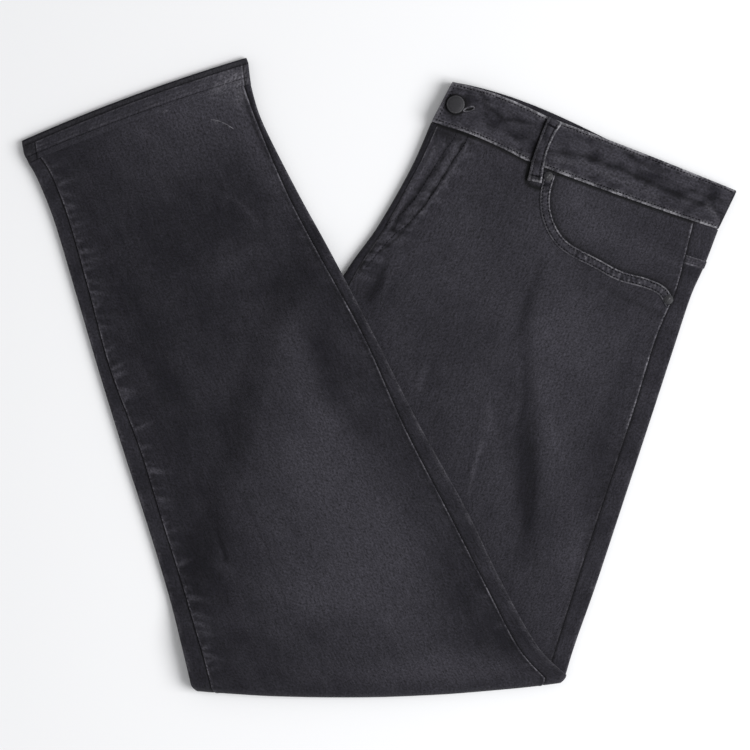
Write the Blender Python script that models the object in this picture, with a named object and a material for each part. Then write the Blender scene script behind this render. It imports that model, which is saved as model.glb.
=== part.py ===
"""Slim fit jeans, folded in half along the centre front and once more across the thigh.

The garment lies flat on a surface: the right front is undermost, turns round the bottom fold and is
the large panel on top. +X runs to the right and +Y up, as seen from above, with the hems at the upper
left and the waist at the upper right. Sizes are in millimetres until they become mesh points.

Each run of the folded legs is a table of sections, a row for each place along it. A point of the
garment is found from its section, its distance in from the left or right edge, and its depth under
the right front's outer face, which is underneath on the thigh and on top after the fold.
"""

import math
from typing import NamedTuple

import bmesh
import bpy
import numpy as np

MM = 0.001
CENTRE = (-1.28, 0.2)  # the middle of the garment's outline, put at the origin

# Cloth
WALL = 1.2
GAP = 0.3
SKIN = WALL + GAP
CORE_SLACK = 0.35  # how much looser the hidden layers lie under a wall
SEAM_RISE = 0.6  # how far the turned cloth at a seam stands up beside it
SEAM_ROLL = 2.6  # how wide that turned edge is

# Stack heights: four layers on the thigh, and the lower legs on top of them
THIGH_STACK = 7.9
LEG_STACK = 6.4
LEG_REST = THIGH_STACK + GAP
PIVOT = (LEG_REST + LEG_STACK) / 2
DRAPE_START = 17.0  # how far beside the thigh's edge the lower leg starts to come down
DRAPE_WIDTH = 36.0  # how far it takes to reach the surface
FOLD_CORNER = 4.5  # how far the fold's two ends are rounded in

# Waist
BAND_WALL = 2.4
BAND_LEVEL = BAND_WALL + GAP
UNDERLAP = 38.0
UNDERLAP_STEP = 13.0
BACK_BAND_RISE = 6.5  # how far the back waistband shows above the front one
BACK_BAND_REACH = 0.55  # over which share of the width it does, from the centre front
BAND_END_GAP = 0.4
YOKE_TAB_RISE = 0.7

# Pocket
MOUTH_BAND = 9.0
MOUTH_WALL = 1.0
MOUTH_START = 1.5  # how far under the waist seam the mouth's band starts
CUTTER_REACH = 60.0
CUTTER_HEIGHTS = (-5.0, 40.0)

# Trim
LOOP_WIDTH = 12.4
LOOP_WALL = 1.5
BUTTON_RADIUS = 7.8
RIVET_RADIUS = 4.3

# Hem
HEM_WALL = 2.05
HEM_EDGE_STEP = 5.0  # how far the back hem shows beyond the front one

COLUMNS = 10
TURN_STEPS = 8
ARC_STEPS = 5


class Section(NamedTuple):
    """Where one section's edges lie, how it bows, its height and its seams' places."""

    left_x: float
    left_y: float
    right_x: float
    right_y: float
    bow: float
    stack: float
    left_seam: float
    right_seam: float


class Station(NamedTuple):
    """A section with its place in the folded run."""

    section: Section
    run: str
    turn: float
    split: float
    edge_in: float
    columns: list
    rests: list


class PocketPoint(NamedTuple):
    """A point of the pocket mouth, from the corner of the waist seam and side seam."""

    across: float
    down: float


class BandRow(NamedTuple):
    """A row of the belt loop, from its top end."""

    down: float
    lift: float


# From the waist seam to the fold
THIGH = (
    Section(45.4, 229.0, 302.9, 132.5, 3.0, 10.5, 3.0, 23.0),
    Section(27.5, 188.3, 291.1, 101.2, 2.0, 8.6, 4.0, 19.0),
    Section(-2.2, 136.2, 278.8, 73.4, 1.0, 7.9, 6.0, 14.5),
    Section(-31.8, 94.0, 264.5, 30.3, 0.0, 7.9, 8.5, 18.0),
    Section(-72.2, 20.4, 242.9, -36.2, 0.0, 7.9, 13.0, 17.0),
    Section(-99.1, -73.9, 217.8, -112.5, 0.0, 7.9, 15.0, 17.5),
    Section(-127.0, -172.6, 193.5, -186.1, 0.0, 7.9, 16.0, 18.0),
    Section(-153.0, -243.0, 175.1, -238.0, 4.0, 7.9, 17.0, 16.5),
    Section(-170.0, -273.5, 166.5, -266.0, 9.5, 7.9, 18.0, 17.0),
)
CROTCH_ROW = 4
YOKE_SEAM = (0.88, 1.12)  # rows of the thigh between which the yoke seam's band lies

# Rows at which every layer has a station, with the yoke seam's two edges among them
THIGH_PLACES = (0.0, 0.45, *YOKE_SEAM, 1.55, 2.0, 2.5, 3.0, 3.5, 4.0, 5.0, 6.0, 7.0, 7.5, 8.0)
LEG_PLACES = (0.0, 0.35, 0.7, 1.0, 1.35, 1.7, *(row / 2 for row in range(4, 19)))

# From the fold to the hem's stitch line
LEG = (
    Section(-170.0, -273.5, 166.5, -266.0, 9.5, 6.4, 18.0, 19.0),
    Section(-177.5, -242.3, 140.4, -239.7, 4.0, 6.4, 17.0, 17.0),
    Section(-190.5, -193.9, 108.1, -182.3, 0.0, 6.4, 15.0, 15.0),
    Section(-208.4, -134.8, 74.9, -114.1, 0.0, 6.4, 14.0, 16.5),
    Section(-230.8, -65.7, 34.6, -41.5, 0.0, 6.4, 15.0, 13.5),
    Section(-253.2, 6.9, -5.8, 38.3, 0.0, 6.4, 10.5, 9.0),
    Section(-275.1, 81.4, -45.8, 114.6, 0.0, 6.6, 12.0, 10.5),
    Section(-293.2, 141.6, -74.9, 167.7, 0.0, 7.2, 13.0, 9.0),
    Section(-307.5, 177.6, -105.9, 229.6, -2.0, 8.4, 13.0, 4.5),
    Section(-315.6, 192.2, -116.4, 263.3, -3.0, 9.4, 12.0, 6.0),
)

# From the hem's stitch line to the back hem's edge
HEM = (
    Section(-318.4, 191.65, -116.2, 263.7, -3.0, 9.6, 12.0, 6.0),
    Section(-322.0, 211.2, -119.8, 286.1, -3.5, 10.0, 12.0, 6.0),
)

# From the waist seam to the waistband's top edge
BAND = (
    Section(45.6, 229.5, 303.1, 133.0, 3.0, 10.5, 0.0, 0.0),
    Section(64.2, 265.1, 319.7, 167.4, -1.8, 10.5, 0.0, 0.0),
)

POCKET_MOUTH = (
    PocketPoint(131.0, -6.0),
    PocketPoint(130.0, 18.0),
    PocketPoint(123.5, 36.0),
    PocketPoint(111.0, 50.0),
    PocketPoint(96.0, 57.5),
    PocketPoint(69.0, 61.0),
    PocketPoint(46.0, 64.0),
    PocketPoint(20.0, 62.0),
    PocketPoint(3.0, 64.0),
    PocketPoint(-9.0, 73.0),
)

BELT_LOOP = (
    BandRow(0.0, 0.0),
    BandRow(3.0, 1.2),
    BandRow(7.0, 0.9),
    BandRow(22.0, 1.6),
    BandRow(38.0, 1.6),
    BandRow(50.0, 0.9),
    BandRow(56.0, 1.3),
    BandRow(59.0, 0.2),
)
LOOP_TOP = (155.8, 232.0)
LOOP_FOOT = (137.5, 176.5)

BUTTON_AT = (67.3, 244.4)
RIVETS_AT = {"pocket_rivet_upper": (150.5, 180.4), "pocket_rivet_lower": (258.4, 70.1)}

# Radius and height of the button's and the rivets' turned profiles, as shares of the radius
BUTTON_PROFILE = (
    (0.0, 0.42),
    (0.45, 0.42),
    (0.62, 0.34),
    (0.74, 0.36),
    (0.9, 0.34),
    (1.0, 0.2),
    (0.94, 0.0),
    (0.0, 0.0),
)
RIVET_PROFILE = (
    (0.0, 0.42),
    (0.3, 0.4),
    (0.42, 0.24),
    (0.75, 0.22),
    (0.95, 0.12),
    (1.0, 0.0),
    (0.0, 0.0),
)

COLOURS = {
    "denim": ((0.028, 0.027, 0.032), 0.9, 0.0),
    "inside": ((0.016, 0.016, 0.019), 0.92, 0.0),
    "metal": ((0.05, 0.05, 0.055), 0.42, 0.9),
}


def clear_scene():
    for item in list(bpy.data.objects):
        bpy.data.objects.remove(item, do_unlink=True)


def finish(name, kind):
    """The material of one sub-part, in the colour of its kind."""
    colour, roughness, metallic = COLOURS[kind]
    material = bpy.data.materials.new(name + "_finish")
    material.use_nodes = True
    shader = material.node_tree.nodes["Principled BSDF"]
    shader.inputs["Base Color"].default_value = (*colour, 1.0)
    shader.inputs["Roughness"].default_value = roughness
    shader.inputs["Metallic"].default_value = metallic
    material.diffuse_color = (*colour, 1.0)
    return material


def smooth_row(rows, place_on):
    """The row at a fractional place, on a smooth curve through the rows."""
    table = np.array(rows)
    last = len(table) - 1
    row = min(int(place_on), last - 1)
    share = place_on - row
    before, start, end, after = (table[min(max(row + k, 0), last)] for k in (-1, 0, 1, 2))
    leave = (end - before) / 2
    arrive = (after - start) / 2
    return (
        (2 * share**3 - 3 * share**2 + 1) * start
        + (share**3 - 2 * share**2 + share) * leave
        + (3 * share**2 - 2 * share**3) * end
        + (share**3 - share**2) * arrive
    )


def smooth_rows(rows, steps):
    """The rows with `steps` stretches between each two, on a smooth curve through them."""
    return [smooth_row(rows, k / steps) for k in range((len(rows) - 1) * steps + 1)]


def smoothstep(share):
    """From 0 to 1 with level ends."""
    share = min(max(share, 0.0), 1.0)
    return share * share * (3 - 2 * share)


THIGH_EDGE = np.array([row[:2] for row in smooth_rows(THIGH, 6)])


def rest_height(x, y):
    """How high the lower leg rests at this place: on the thigh, or coming down beside it."""
    start, end = THIGH_EDGE[:-1], THIGH_EDGE[1:]
    run = end - start
    reach = np.array((x, y)) - start
    share = np.clip((reach * run).sum(1) / (run * run).sum(1), 0, 1)
    away = reach - run * share[:, None]
    gap = np.hypot(*away.T)
    near = int(gap.argmin())
    outside = run[near][0] * away[near][1] - run[near][1] * away[near][0] < 0
    if not outside:
        return LEG_REST
    return LEG_REST * smoothstep(1 - (gap[near] - DRAPE_START) / DRAPE_WIDTH)


def directions(section):
    """The section's unit vector from left to right, the one down towards the fold, and its width."""
    run = np.array((section.right_x - section.left_x, section.right_y - section.left_y))
    width = float(np.hypot(*run))
    along = run / width
    return along, np.array((along[1], -along[0])), width


def from_left(section, side, inset):
    """The distance from the left edge of what lies this far in from one side."""
    return inset if side == "left" else directions(section)[2] - inset


def level_point(section, distance):
    """X and Y at a distance from the section's left edge, on its bowed line."""
    along, down, width = directions(section)
    share = distance / width
    sag = section.bow * 4 * share * (1 - share) if 0 < share < 1 else 0.0
    return np.array((section.left_x, section.left_y)) + along * distance + down * sag


def shared_columns(section):
    """Distances from the left edge at which every layer of a section has its points."""
    width = directions(section)[2]
    start, end = max(section.left_seam, section.stack / 2 + 0.8), width - section.right_seam
    inner = [start + (end - start) * k / COLUMNS for k in range(COLUMNS + 1)]
    return [0.0, *inner, width]


def station_of(section, run, turn=0.0, split=None, edge_in=0.0):
    """A station, with the height at which a lower leg rests at each of its columns."""
    columns = shared_columns(section)
    rests = [0.0] * len(columns)
    if run == "leg":
        rests = [rest_height(*level_point(section, distance)) for distance in columns]
    return Station(section, run, turn, split or section.stack / 2, edge_in, columns, rests)


def place(station, distance, depth):
    """The point at a distance from the left edge and a depth under the right front's outer face."""
    section = station.section
    squeeze = 1 - 2 * station.edge_in / directions(section)[2]
    x, y = level_point(section, station.edge_in + distance * squeeze)
    if station.run == "turn":
        reach = PIVOT - depth
        shift = directions(section)[1] * reach * math.sin(station.turn)
        return x + shift[0], y + shift[1], PIVOT - reach * math.cos(station.turn)
    if station.run == "leg":
        rest = float(np.interp(distance, station.columns, station.rests))
        return x, y, rest + section.stack - depth
    return x, y, depth


def thigh_stations(start=0.0, end=8.0):
    """Stations from one row of the thigh's table to another."""
    return [
        station_of(Section(*smooth_row(THIGH, row)), "thigh") for row in THIGH_PLACES if start <= row <= end
    ]


def turn_stations():
    """Stations round the fold, between the thigh's last and the leg's first."""
    below, above = THIGH[-1], LEG[0]
    found = []
    for step in range(1, TURN_STEPS):
        share = step / TURN_STEPS
        turn = math.pi * share
        mixed = Section(*(a + (b - a) * share for a, b in zip(below, above)))
        split = (THIGH_STACK + (LEG_STACK - THIGH_STACK) * share) / 2
        found.append(station_of(mixed, "turn", turn, split, FOLD_CORNER * math.sin(turn) ** 2))
    return found


def leg_stations():
    """Stations from the fold to the hem."""
    return [station_of(Section(*smooth_row(LEG, row)), "leg", math.pi) for row in LEG_PLACES]


def whole_run():
    """Every station, from the waist seam round the fold to the hem."""
    return thigh_stations() + turn_stations() + leg_stations()


def mesh_object(name, points, faces, kind, smooth=True):
    """One closed named object from points in millimetres, with its faces turned outwards."""
    work = bmesh.new()
    vertices = [
        work.verts.new(((x - CENTRE[0]) * MM, (y - CENTRE[1]) * MM, z * MM)) for x, y, z in points
    ]
    for face in faces:
        work.faces.new([vertices[index] for index in face])
    bmesh.ops.recalc_face_normals(work, faces=work.faces)
    mesh = bpy.data.meshes.new(name)
    work.to_mesh(mesh)
    work.free()
    item = bpy.data.objects.new(name, mesh)
    bpy.context.scene.collection.objects.link(item)
    mesh.materials.append(finish(name, kind))
    if smooth:
        mesh.shade_smooth()
        mesh.set_sharp_from_angle(angle=math.radians(50))
    return item


def wall(name, outer, inner, kind):
    """A closed wall between two grids of points, each a list of rows of the same length."""
    rows, columns = len(outer), len(outer[0])
    count = rows * columns
    points = [point for row in outer for point in row] + [point for row in inner for point in row]
    faces = []
    for row in range(rows - 1):
        for column in range(columns - 1):
            corner = row * columns + column
            across, beyond = corner + 1, corner + columns
            for face in ((corner, across, beyond + 1), (corner, beyond + 1, beyond)):
                faces.append(face)
                faces.append(tuple(index + count for index in reversed(face)))
    rim = list(range(columns))
    rim += [row * columns + columns - 1 for row in range(1, rows)]
    rim += [(rows - 1) * columns + column for column in range(columns - 2, -1, -1)]
    rim += [row * columns for row in range(rows - 2, 0, -1)]
    for here, there in zip(rim, rim[1:] + rim[:1]):
        faces.append((there, here, here + count, there + count))
    return mesh_object(name, points, faces, kind)


def tube(name, outer, inner, kind):
    """A closed wall between two lists of rings, open at both ends."""
    rings, around = len(outer), len(outer[0])
    count = rings * around
    points = [point for ring in outer for point in ring] + [point for ring in inner for point in ring]
    faces = []
    for ring in range(rings - 1):
        for place_on in range(around):
            here = ring * around + place_on
            there = ring * around + (place_on + 1) % around
            face = (here, there, there + around, here + around)
            faces.append(face)
            faces.append(tuple(index + count for index in reversed(face)))
    for ring in (0, rings - 1):
        for place_on in range(around):
            here = ring * around + place_on
            there = ring * around + (place_on + 1) % around
            faces.append((here, there, there + count, here + count))
    return mesh_object(name, points, faces, kind)


def panel_columns(station, left, right):
    """Distances from the left edge across a panel, with its turned edge at each seam."""
    start, end = left + GAP, directions(station.section)[2] - right - GAP
    roll = (SEAM_ROLL / 2, SEAM_ROLL)
    middle = station.columns[2:-2]
    return [start, *(start + r for r in roll), *middle, *(end - r for r in reversed(roll)), end]


def fly_inset(section):
    """How far in from the centre-front fold the left front's fly edge lies."""
    return max(section.left_seam, section.stack / 2 + 0.5)


def seam_rise(index, count):
    """The turned edge is highest in its second column."""
    return {0: 0.7, 1: 1.0}.get(min(index, count - 1 - index), 0.0) * SEAM_RISE


def right_front_panel():
    """The panel that lies on the surface, turns round the fold and covers the folded garment."""
    outer, inner = [], []
    for station in whole_run():
        section = station.section
        left = section.left_seam
        if station.run == "thigh":
            hip = smoothstep((section.left_y - THIGH[CROTCH_ROW].left_y) / 40.0)
            left = left * (1 - hip) + section.stack / 2 * hip
        columns = panel_columns(station, left, section.right_seam)
        raised = 0.0 if station.run == "thigh" else math.sin(station.turn / 2) ** 2
        heights = [raised * seam_rise(k, len(columns)) for k in range(len(columns))]
        outer.append([place(station, x, -rise) for x, rise in zip(columns, heights)])
        inner.append([place(station, x, WALL) for x in columns])
    return wall("right_front_panel", outer, inner, "denim")


def left_front_grids():
    """The two faces of the panel on top of the thigh, from the fly to the side seam and the fold."""
    outer, inner = [], []
    for station in thigh_stations():
        section = station.section
        columns = panel_columns(station, fly_inset(section), section.right_seam)
        shows = smoothstep((section.left_y - THIGH[CROTCH_ROW - 1].left_y) / 30.0 - 0.3)
        near_fold = smoothstep((section.left_y - THIGH[-1].left_y) / 40.0 - 0.4)
        heights = [seam_rise(k, len(columns)) / 2 for k in range(len(columns))]
        middle = len(columns) / 2
        heights = [h * (shows if k < middle else near_fold) for k, h in enumerate(heights)]
        outer.append([place(station, x, section.stack + h) for x, h in zip(columns, heights)])
        inner.append([place(station, x, section.stack - WALL) for x in columns])
    return outer, inner


def edge_path(split, flat, steps=ARC_STEPS):
    """Insets and depths along a layer that wraps round an edge: outer face, then inner face."""
    radius = split / 2
    outer = [(flat, 0.0), ((flat + radius) / 2, 0.0), (radius, 0.0)]
    inner = [(flat, WALL), ((flat + radius) / 2, WALL), (radius, WALL)]
    for step in range(1, steps + 1):
        angle = math.pi * step / steps
        outer.append((radius - radius * math.sin(angle), radius - radius * math.cos(angle)))
        hollow = radius - WALL
        inner.append((radius - hollow * math.sin(angle), radius - hollow * math.cos(angle)))
    return outer, inner


def edge_wall(name, stations, side, face, raised_rows=0):
    """A layer wrapped round one edge, on the right front's face or, on the thigh, on the other one."""
    outer, inner = [], []
    for order, station in enumerate(stations):
        section = station.section
        flat = section.left_seam if side == "left" else section.right_seam
        paths = edge_path(station.split - GAP / 2, max(flat, station.split))
        lift = YOKE_TAB_RISE if order < raised_rows else 0.0
        for path, grid, lifted in zip(paths, (outer, inner), (lift, 0.0)):
            row = []
            for inset, depth in path:
                depth = depth - lifted if depth < station.split / 2 else depth
                inset = inset - lifted if inset < station.split / 2 - 0.1 else inset
                if face == "upper":
                    depth = section.stack - depth
                row.append(place(station, from_left(section, side, inset), depth))
            grid.append(row[::-1] if side == "left" else row)
    return wall(name, outer, inner, "denim")


def edge_layers():
    """Yokes and back panels where they wrap round the edges."""
    above, below = YOKE_SEAM
    yoke, back = thigh_stations(0.0, above), thigh_stations(above)
    tab_foot = station_of(Section(*smooth_row(THIGH, below + 0.02)), "thigh")
    upper = [parted(back[0], GAP), back[1], tab_foot] + back[2:]
    edge_wall("left_yoke", yoke, "right", "upper")
    edge_wall("left_back_panel_side", upper, "right", "upper", raised_rows=2)
    edge_wall("right_yoke", yoke, "right", "lower")
    onward = turn_stations() + leg_stations()
    edge_wall("right_back_panel_side", [parted(back[0], GAP)] + back[1:] + onward, "right", "lower")
    edge_wall("right_back_panel_inseam", thigh_stations(CROTCH_ROW + 1) + onward, "left", "lower")


def parted(station, distance):
    """The station slid towards the fold, so that what starts there clears its neighbour."""
    section = station.section
    down = directions(section)[1] * distance
    moved = section._replace(
        left_x=section.left_x + down[0],
        left_y=section.left_y + down[1],
        right_x=section.right_x + down[0],
        right_y=section.right_y + down[1],
    )
    return station._replace(section=moved)


def fly_edge():
    """The right front's edge at the fly, wrapped round the centre-front fold under the left front."""
    outer, inner = [], []
    for station in thigh_stations(0.0, CROTCH_ROW - 0.5):
        section = station.section
        outer_path, inner_path = edge_path(section.stack, fly_inset(section), 6)
        outer.append([place(station, inset, section.stack - depth) for inset, depth in outer_path])
        inner.append([place(station, inset, section.stack - depth) for inset, depth in inner_path])
    return wall("right_fly_edge", outer, inner, "denim")


def layered_profile(station, low, high, bulge):
    """Insets and depths down an edge of the hidden layers, grooved where one leg lies on the other."""
    split = station.split
    back = split / 2 + 0.6
    groove = split + GAP
    profile = [(back + 0.5, low), (back, low + 0.4), (back, split - 0.7), (back + 1.0, groove - 0.1)]
    for step in range(1, 6):
        angle = math.pi * step / 6
        depth = groove + (high - groove) * (1 - math.cos(angle)) / 2
        reach = back - bulge * (back - 0.1) * math.sin(angle) ** 0.6
        profile.append((reach if bulge else back, depth))
    profile.append((back + 0.3 + (0.6 if not bulge else 0.0), high))
    return profile


def round_profile(low, high):
    """Insets and depths down a single round edge."""
    radius = (high - low) / 2
    profile = []
    for step in range(10):
        angle = math.pi * step / 9
        profile.append(
            (low + radius - radius * math.sin(angle), low + radius - radius * math.cos(angle))
        )
    return profile


def hidden_ring(station):
    """Distances and depths round one section of the hidden layers, and how many points a side has."""
    section = station.section
    width = directions(section)[2]
    on_thigh = station.run == "thigh"
    low = SKIN + CORE_SLACK
    high = section.stack - SKIN - CORE_SLACK / 2 if on_thigh else LEG_STACK
    if station.run == "leg":
        high = section.stack
    if on_thigh and section.left_y >= THIGH[CROTCH_ROW].left_y:
        left = round_profile(low, high)
    else:
        left = layered_profile(station, low, high, 1.0)
    right = layered_profile(station, low, high, 0.0 if on_thigh else 1.0)
    middle = station.columns[1:-1]
    ring = list(left)
    ring += [(distance, high) for distance in middle]
    ring += [(width - inset, depth) for inset, depth in reversed(right)]
    ring += [(distance, low) for distance in reversed(middle)]
    return ring, len(left), len(middle)


def hidden_layers():
    """The hidden layers of both legs as one rounded solid, layered at its edges."""
    rings = []
    for station in whole_run():
        ring, side, middle = hidden_ring(station)
        rings.append([place(station, distance, depth) for distance, depth in ring])
    around = len(rings[0])
    points = [point for ring in rings for point in ring]
    faces = []
    for ring in range(len(rings) - 1):
        for step in range(around):
            here = ring * around + step
            there = ring * around + (step + 1) % around
            if step < side + middle:
                faces.append((here, there, there + around))
                faces.append((here, there + around, here + around))
            else:
                faces.append((here, there, here + around))
                faces.append((there, there + around, here + around))
    upper = [side - 1 + k for k in range(middle + 2)]
    lower = [0] + [around - 1 - k for k in range(middle + 1)]
    for base in (0, (len(rings) - 1) * around):
        faces.append([base + k for k in range(side)])
        faces.append([base + side + middle + k for k in range(side)])
        for k in range(middle + 1):
            faces.append([base + k for k in (upper[k], upper[k + 1], lower[k + 1], lower[k])])
    return mesh_object("hidden_layers", points, faces, "inside")


def waistband_path(width):
    """Distances from the left end and heights along the folded band's middle line."""
    level = [BAND_WALL / 2 + BAND_LEVEL * k for k in range(5)]
    path = [(UNDERLAP, level[3]), (UNDERLAP / 2, level[3])]

    def turn(centre_x, low, high, side):
        radius = (high - low) / 2
        for step in range(7):
            angle = math.pi * step / 6
            yield centre_x + side * radius * math.sin(angle), low + radius * (1 - math.cos(angle))

    def run(start, end, height, steps):
        return [(start + (end - start) * k / steps, height) for k in range(1, steps)]

    big = (level[3] - level[0]) / 2 + BAND_WALL / 2
    tight = BAND_LEVEL / 2 + BAND_WALL / 2
    left_fold = big
    right_fold = width - tight
    inner_fold = left_fold + tight - 1.0
    path += list(turn(left_fold, level[0], level[3], -1))[::-1]
    path += run(left_fold, right_fold, level[0], 6)
    path += turn(right_fold, level[0], level[1], 1)
    path += run(right_fold, inner_fold, level[1], 6)
    path += turn(inner_fold, level[1], level[2], -1)
    path += run(inner_fold, right_fold, level[2], 6)
    path += turn(right_fold, level[2], level[3], 1)
    top_start = UNDERLAP + UNDERLAP_STEP
    path += run(right_fold, top_start, level[3], 5)
    path += [(top_start, level[3])]
    path += [
        (top_start - UNDERLAP_STEP * k / 4, level[3] + BAND_LEVEL * smoothstep(k / 4))
        for k in (1, 2, 3, 4)
    ]
    path += [(UNDERLAP / 2, level[4]), (BAND_END_GAP, level[4])]
    return path


def waistband():
    """The waistband, one strip that goes round with the folded waist, its left end lapped on top."""
    width = directions(BAND[0])[2]
    path = np.array(waistband_path(width))
    tangent = np.gradient(path, axis=0)
    tangent /= np.hypot(*tangent.T)[:, None]
    normal = np.stack((-tangent[:, 1], tangent[:, 0]), axis=1)
    sides = [path + normal * BAND_WALL / 2 * sign for sign in (1, -1)]
    grids = []
    shares = (0.0, 0.08, 0.5, 0.92, 1.0)
    for points in sides:
        rows = []
        for share in shares:
            section = Section(*(a + (b - a) * share for a, b in zip(*BAND)))
            row_width = directions(section)[2]
            row = []
            for order, (distance, height) in enumerate(points):
                across = distance * row_width / width
                x, y = level_point(section, across)
                if BAND_LEVEL < path[order][1] < 3 * BAND_LEVEL - GAP:
                    shown = min(across / (BACK_BAND_REACH * width), 1.0) ** 0.6
                    rise = BACK_BAND_RISE * share * math.sin(math.pi * shown)
                    shift = directions(section)[1] * -rise
                    x, y = x + shift[0], y + shift[1]
                row.append((x, y, height))
            rows.append(row)
        grids.append(rows)
    return wall("waistband", grids[0], grids[1], "denim")


def hem_ring(section, low, high, inner, front_step):
    """One ring of a turned hem: distances and depths, and how far the front half stops short."""
    width = directions(section)[2]
    inset = HEM_WALL if inner else 0.0
    top, bottom = low + inset, high - inset
    radius = (bottom - top) / 2
    centre = (top + bottom) / 2
    left, right = inset + radius, width - inset - radius
    runs = 7
    ring = [(left + (right - left) * k / runs, top) for k in range(runs + 1)]
    ring += [
        (right + radius * math.sin(math.pi * k / 4), centre - radius * math.cos(math.pi * k / 4))
        for k in (1, 2, 3)
    ]
    ring += [(right + (left - right) * k / runs, bottom) for k in range(runs + 1)]
    ring += [
        (left - radius * math.sin(math.pi * k / 4), centre + radius * math.cos(math.pi * k / 4))
        for k in (1, 2, 3)
    ]
    station = station_of(section, "leg", math.pi)
    down = directions(section)[1]
    points = []
    for distance, depth in ring:
        x, y, z = place(station, distance, depth)
        front = 1 - (depth - low) / (high - low)
        short = front_step * smoothstep(2 * front - 0.5)
        points.append((x + down[0] * short, y + down[1] * short, z))
    return points


def hems():
    """Each ankle's turned hem, a flattened tube, the right leg's above the left leg's."""
    for name, upper in (("right_hem", True), ("left_hem", False)):
        outer, inner = [], []
        for share in (0.0, 0.5, 1.0):
            section = Section(*(a + (b - a) * share for a, b in zip(*HEM)))
            half = (section.stack - GAP) / 2
            low = 0.0 if upper else half + GAP
            step = HEM_EDGE_STEP * share * (1.0 if upper else -0.3)
            outer.append(hem_ring(section, low, low + half, False, step))
            inner.append(hem_ring(section, low, low + half, True, step))
        tube(name, outer, inner, "denim")


def pocket_frame():
    """The pocket's corner on the waist seam, the direction across to the fly, and the one down."""
    section = THIGH[0]
    along, down, width = directions(section)
    return level_point(section, width - section.right_seam), -along, down


def pocket_curve():
    """Points along the pocket mouth, and at each the direction out of the opening."""
    corner, across, down = pocket_frame()
    curve = np.array([corner + across * a + down * d for a, d in smooth_rows(POCKET_MOUTH, 2)])
    tangent = np.gradient(curve, axis=0)
    tangent /= np.hypot(*tangent.T)[:, None]
    outward = np.stack((tangent[:, 1], -tangent[:, 0]), axis=1)
    return curve, outward * np.sign(outward[0] @ across)


def prism(name, outline, low, high):
    """A vertical cutter over a flat outline."""
    count = len(outline)
    points = [(x, y, low) for x, y in outline] + [(x, y, high) for x, y in outline]
    faces = [list(range(count)), list(range(count, 2 * count))]
    faces += [(k, (k + 1) % count, (k + 1) % count + count, k + count) for k in range(count)]
    item = mesh_object(name, points, faces, "denim", smooth=False)
    item.hide_render = True
    item.display_type = "WIRE"
    return item


def pocket_cutter(name, offset):
    """Over the corner that the pocket mouth leaves open, grown by an offset towards the panel."""
    corner, across, down = pocket_frame()
    curve, outward = pocket_curve()
    outline = list(curve + outward * offset)
    outline.append(outline[-1] - across * CUTTER_REACH)
    outline.append(corner - (across + down) * CUTTER_REACH)
    outline.append(outline[0] - down * CUTTER_REACH)
    return prism(name, outline, *CUTTER_HEIGHTS)


def boolean(item, cutter, operation):
    """Cut one object with another, or keep what they share."""
    modifier = item.modifiers.new(operation.title(), "BOOLEAN")
    modifier.operation = operation
    modifier.solver = "EXACT"
    modifier.object = cutter


def thigh_top(x, y):
    """The stack height of the thigh at a place, from its nearest section."""
    sections = smooth_rows(THIGH, 12)
    best = None
    for row in sections:
        section = Section(*row)
        along, down, width = directions(section)
        reach = np.array((x, y)) - np.array((section.left_x, section.left_y))
        share = float(reach @ along) / width
        off = abs(float(reach @ down) - section.bow * 4 * share * (1 - share))
        if best is None or off < best[0]:
            best = (off, section.stack)
    return best[1]


def front_and_pocket():
    """The left front cut away at the pocket mouth, and the facing behind the opening."""
    outer, inner = left_front_grids()
    front = wall("left_front_panel", outer, inner, "denim")
    facing = wall("left_pocket_facing", outer, inner, "denim")
    boolean(front, pocket_cutter("pocket_opening_cutter", 0.0), "DIFFERENCE")
    boolean(facing, pocket_cutter("pocket_facing_cutter", -GAP), "INTERSECT")


def pocket_band():
    """The mouth's turned edge, lying on the front along the opening."""
    corner, across, down = pocket_frame()
    seam = np.array((THIGH[0].left_x, THIGH[0].left_y))
    profile = ((0.2, 0.5), (1.2, 1.0), (MOUTH_BAND - 1.2, 1.0), (MOUTH_BAND, 0.5))
    top, bottom = [], []
    for point, outward in zip(*pocket_curve()):
        if (point - seam) @ down < MOUTH_START:
            continue
        height = thigh_top(*point) + GAP
        if (point - corner) @ across < MOUTH_BAND:
            height += SEAM_RISE / 2
        top.append([(*(point + outward * off), height + MOUTH_WALL * lift) for off, lift in profile])
        bottom.append([(*(point + outward * off), height) for off, _ in profile])
    wall("left_pocket_band", top, bottom, "denim")


def ribbon(name, start, end, rows, width, thickness, base):
    """A straight strip lying over something, raised along its length by its rows' lift."""
    start, end = np.array(start), np.array(end)
    length = float(np.hypot(*(end - start)))
    along = (end - start) / length
    side = np.array((along[1], -along[0]))
    top, bottom = [], []
    for row in rows:
        centre = start + along * row.down
        low = base(*centre) + row.lift
        across = [(-width / 2, 0.6), (-width / 2 + 1.2, 1.0), (width / 2 - 1.2, 1.0), (width / 2, 0.6)]
        top.append([(*(centre + side * off), low + thickness * share) for off, share in across])
        bottom.append([(*(centre + side * off), low) for off, _ in across])
    return wall(name, top, bottom, "denim")


def band_top(x, y):
    """The top of the waistband, or of the thigh below it."""
    section = BAND[0]
    along, down, width = directions(section)
    reach = np.array((x, y)) - np.array((section.left_x, section.left_y))
    if reach @ down > 2.5:
        return thigh_top(x, y) + GAP
    share = smoothstep((UNDERLAP + UNDERLAP_STEP - reach @ along) / UNDERLAP_STEP)
    return 4 * BAND_LEVEL + BAND_LEVEL * share


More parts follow.
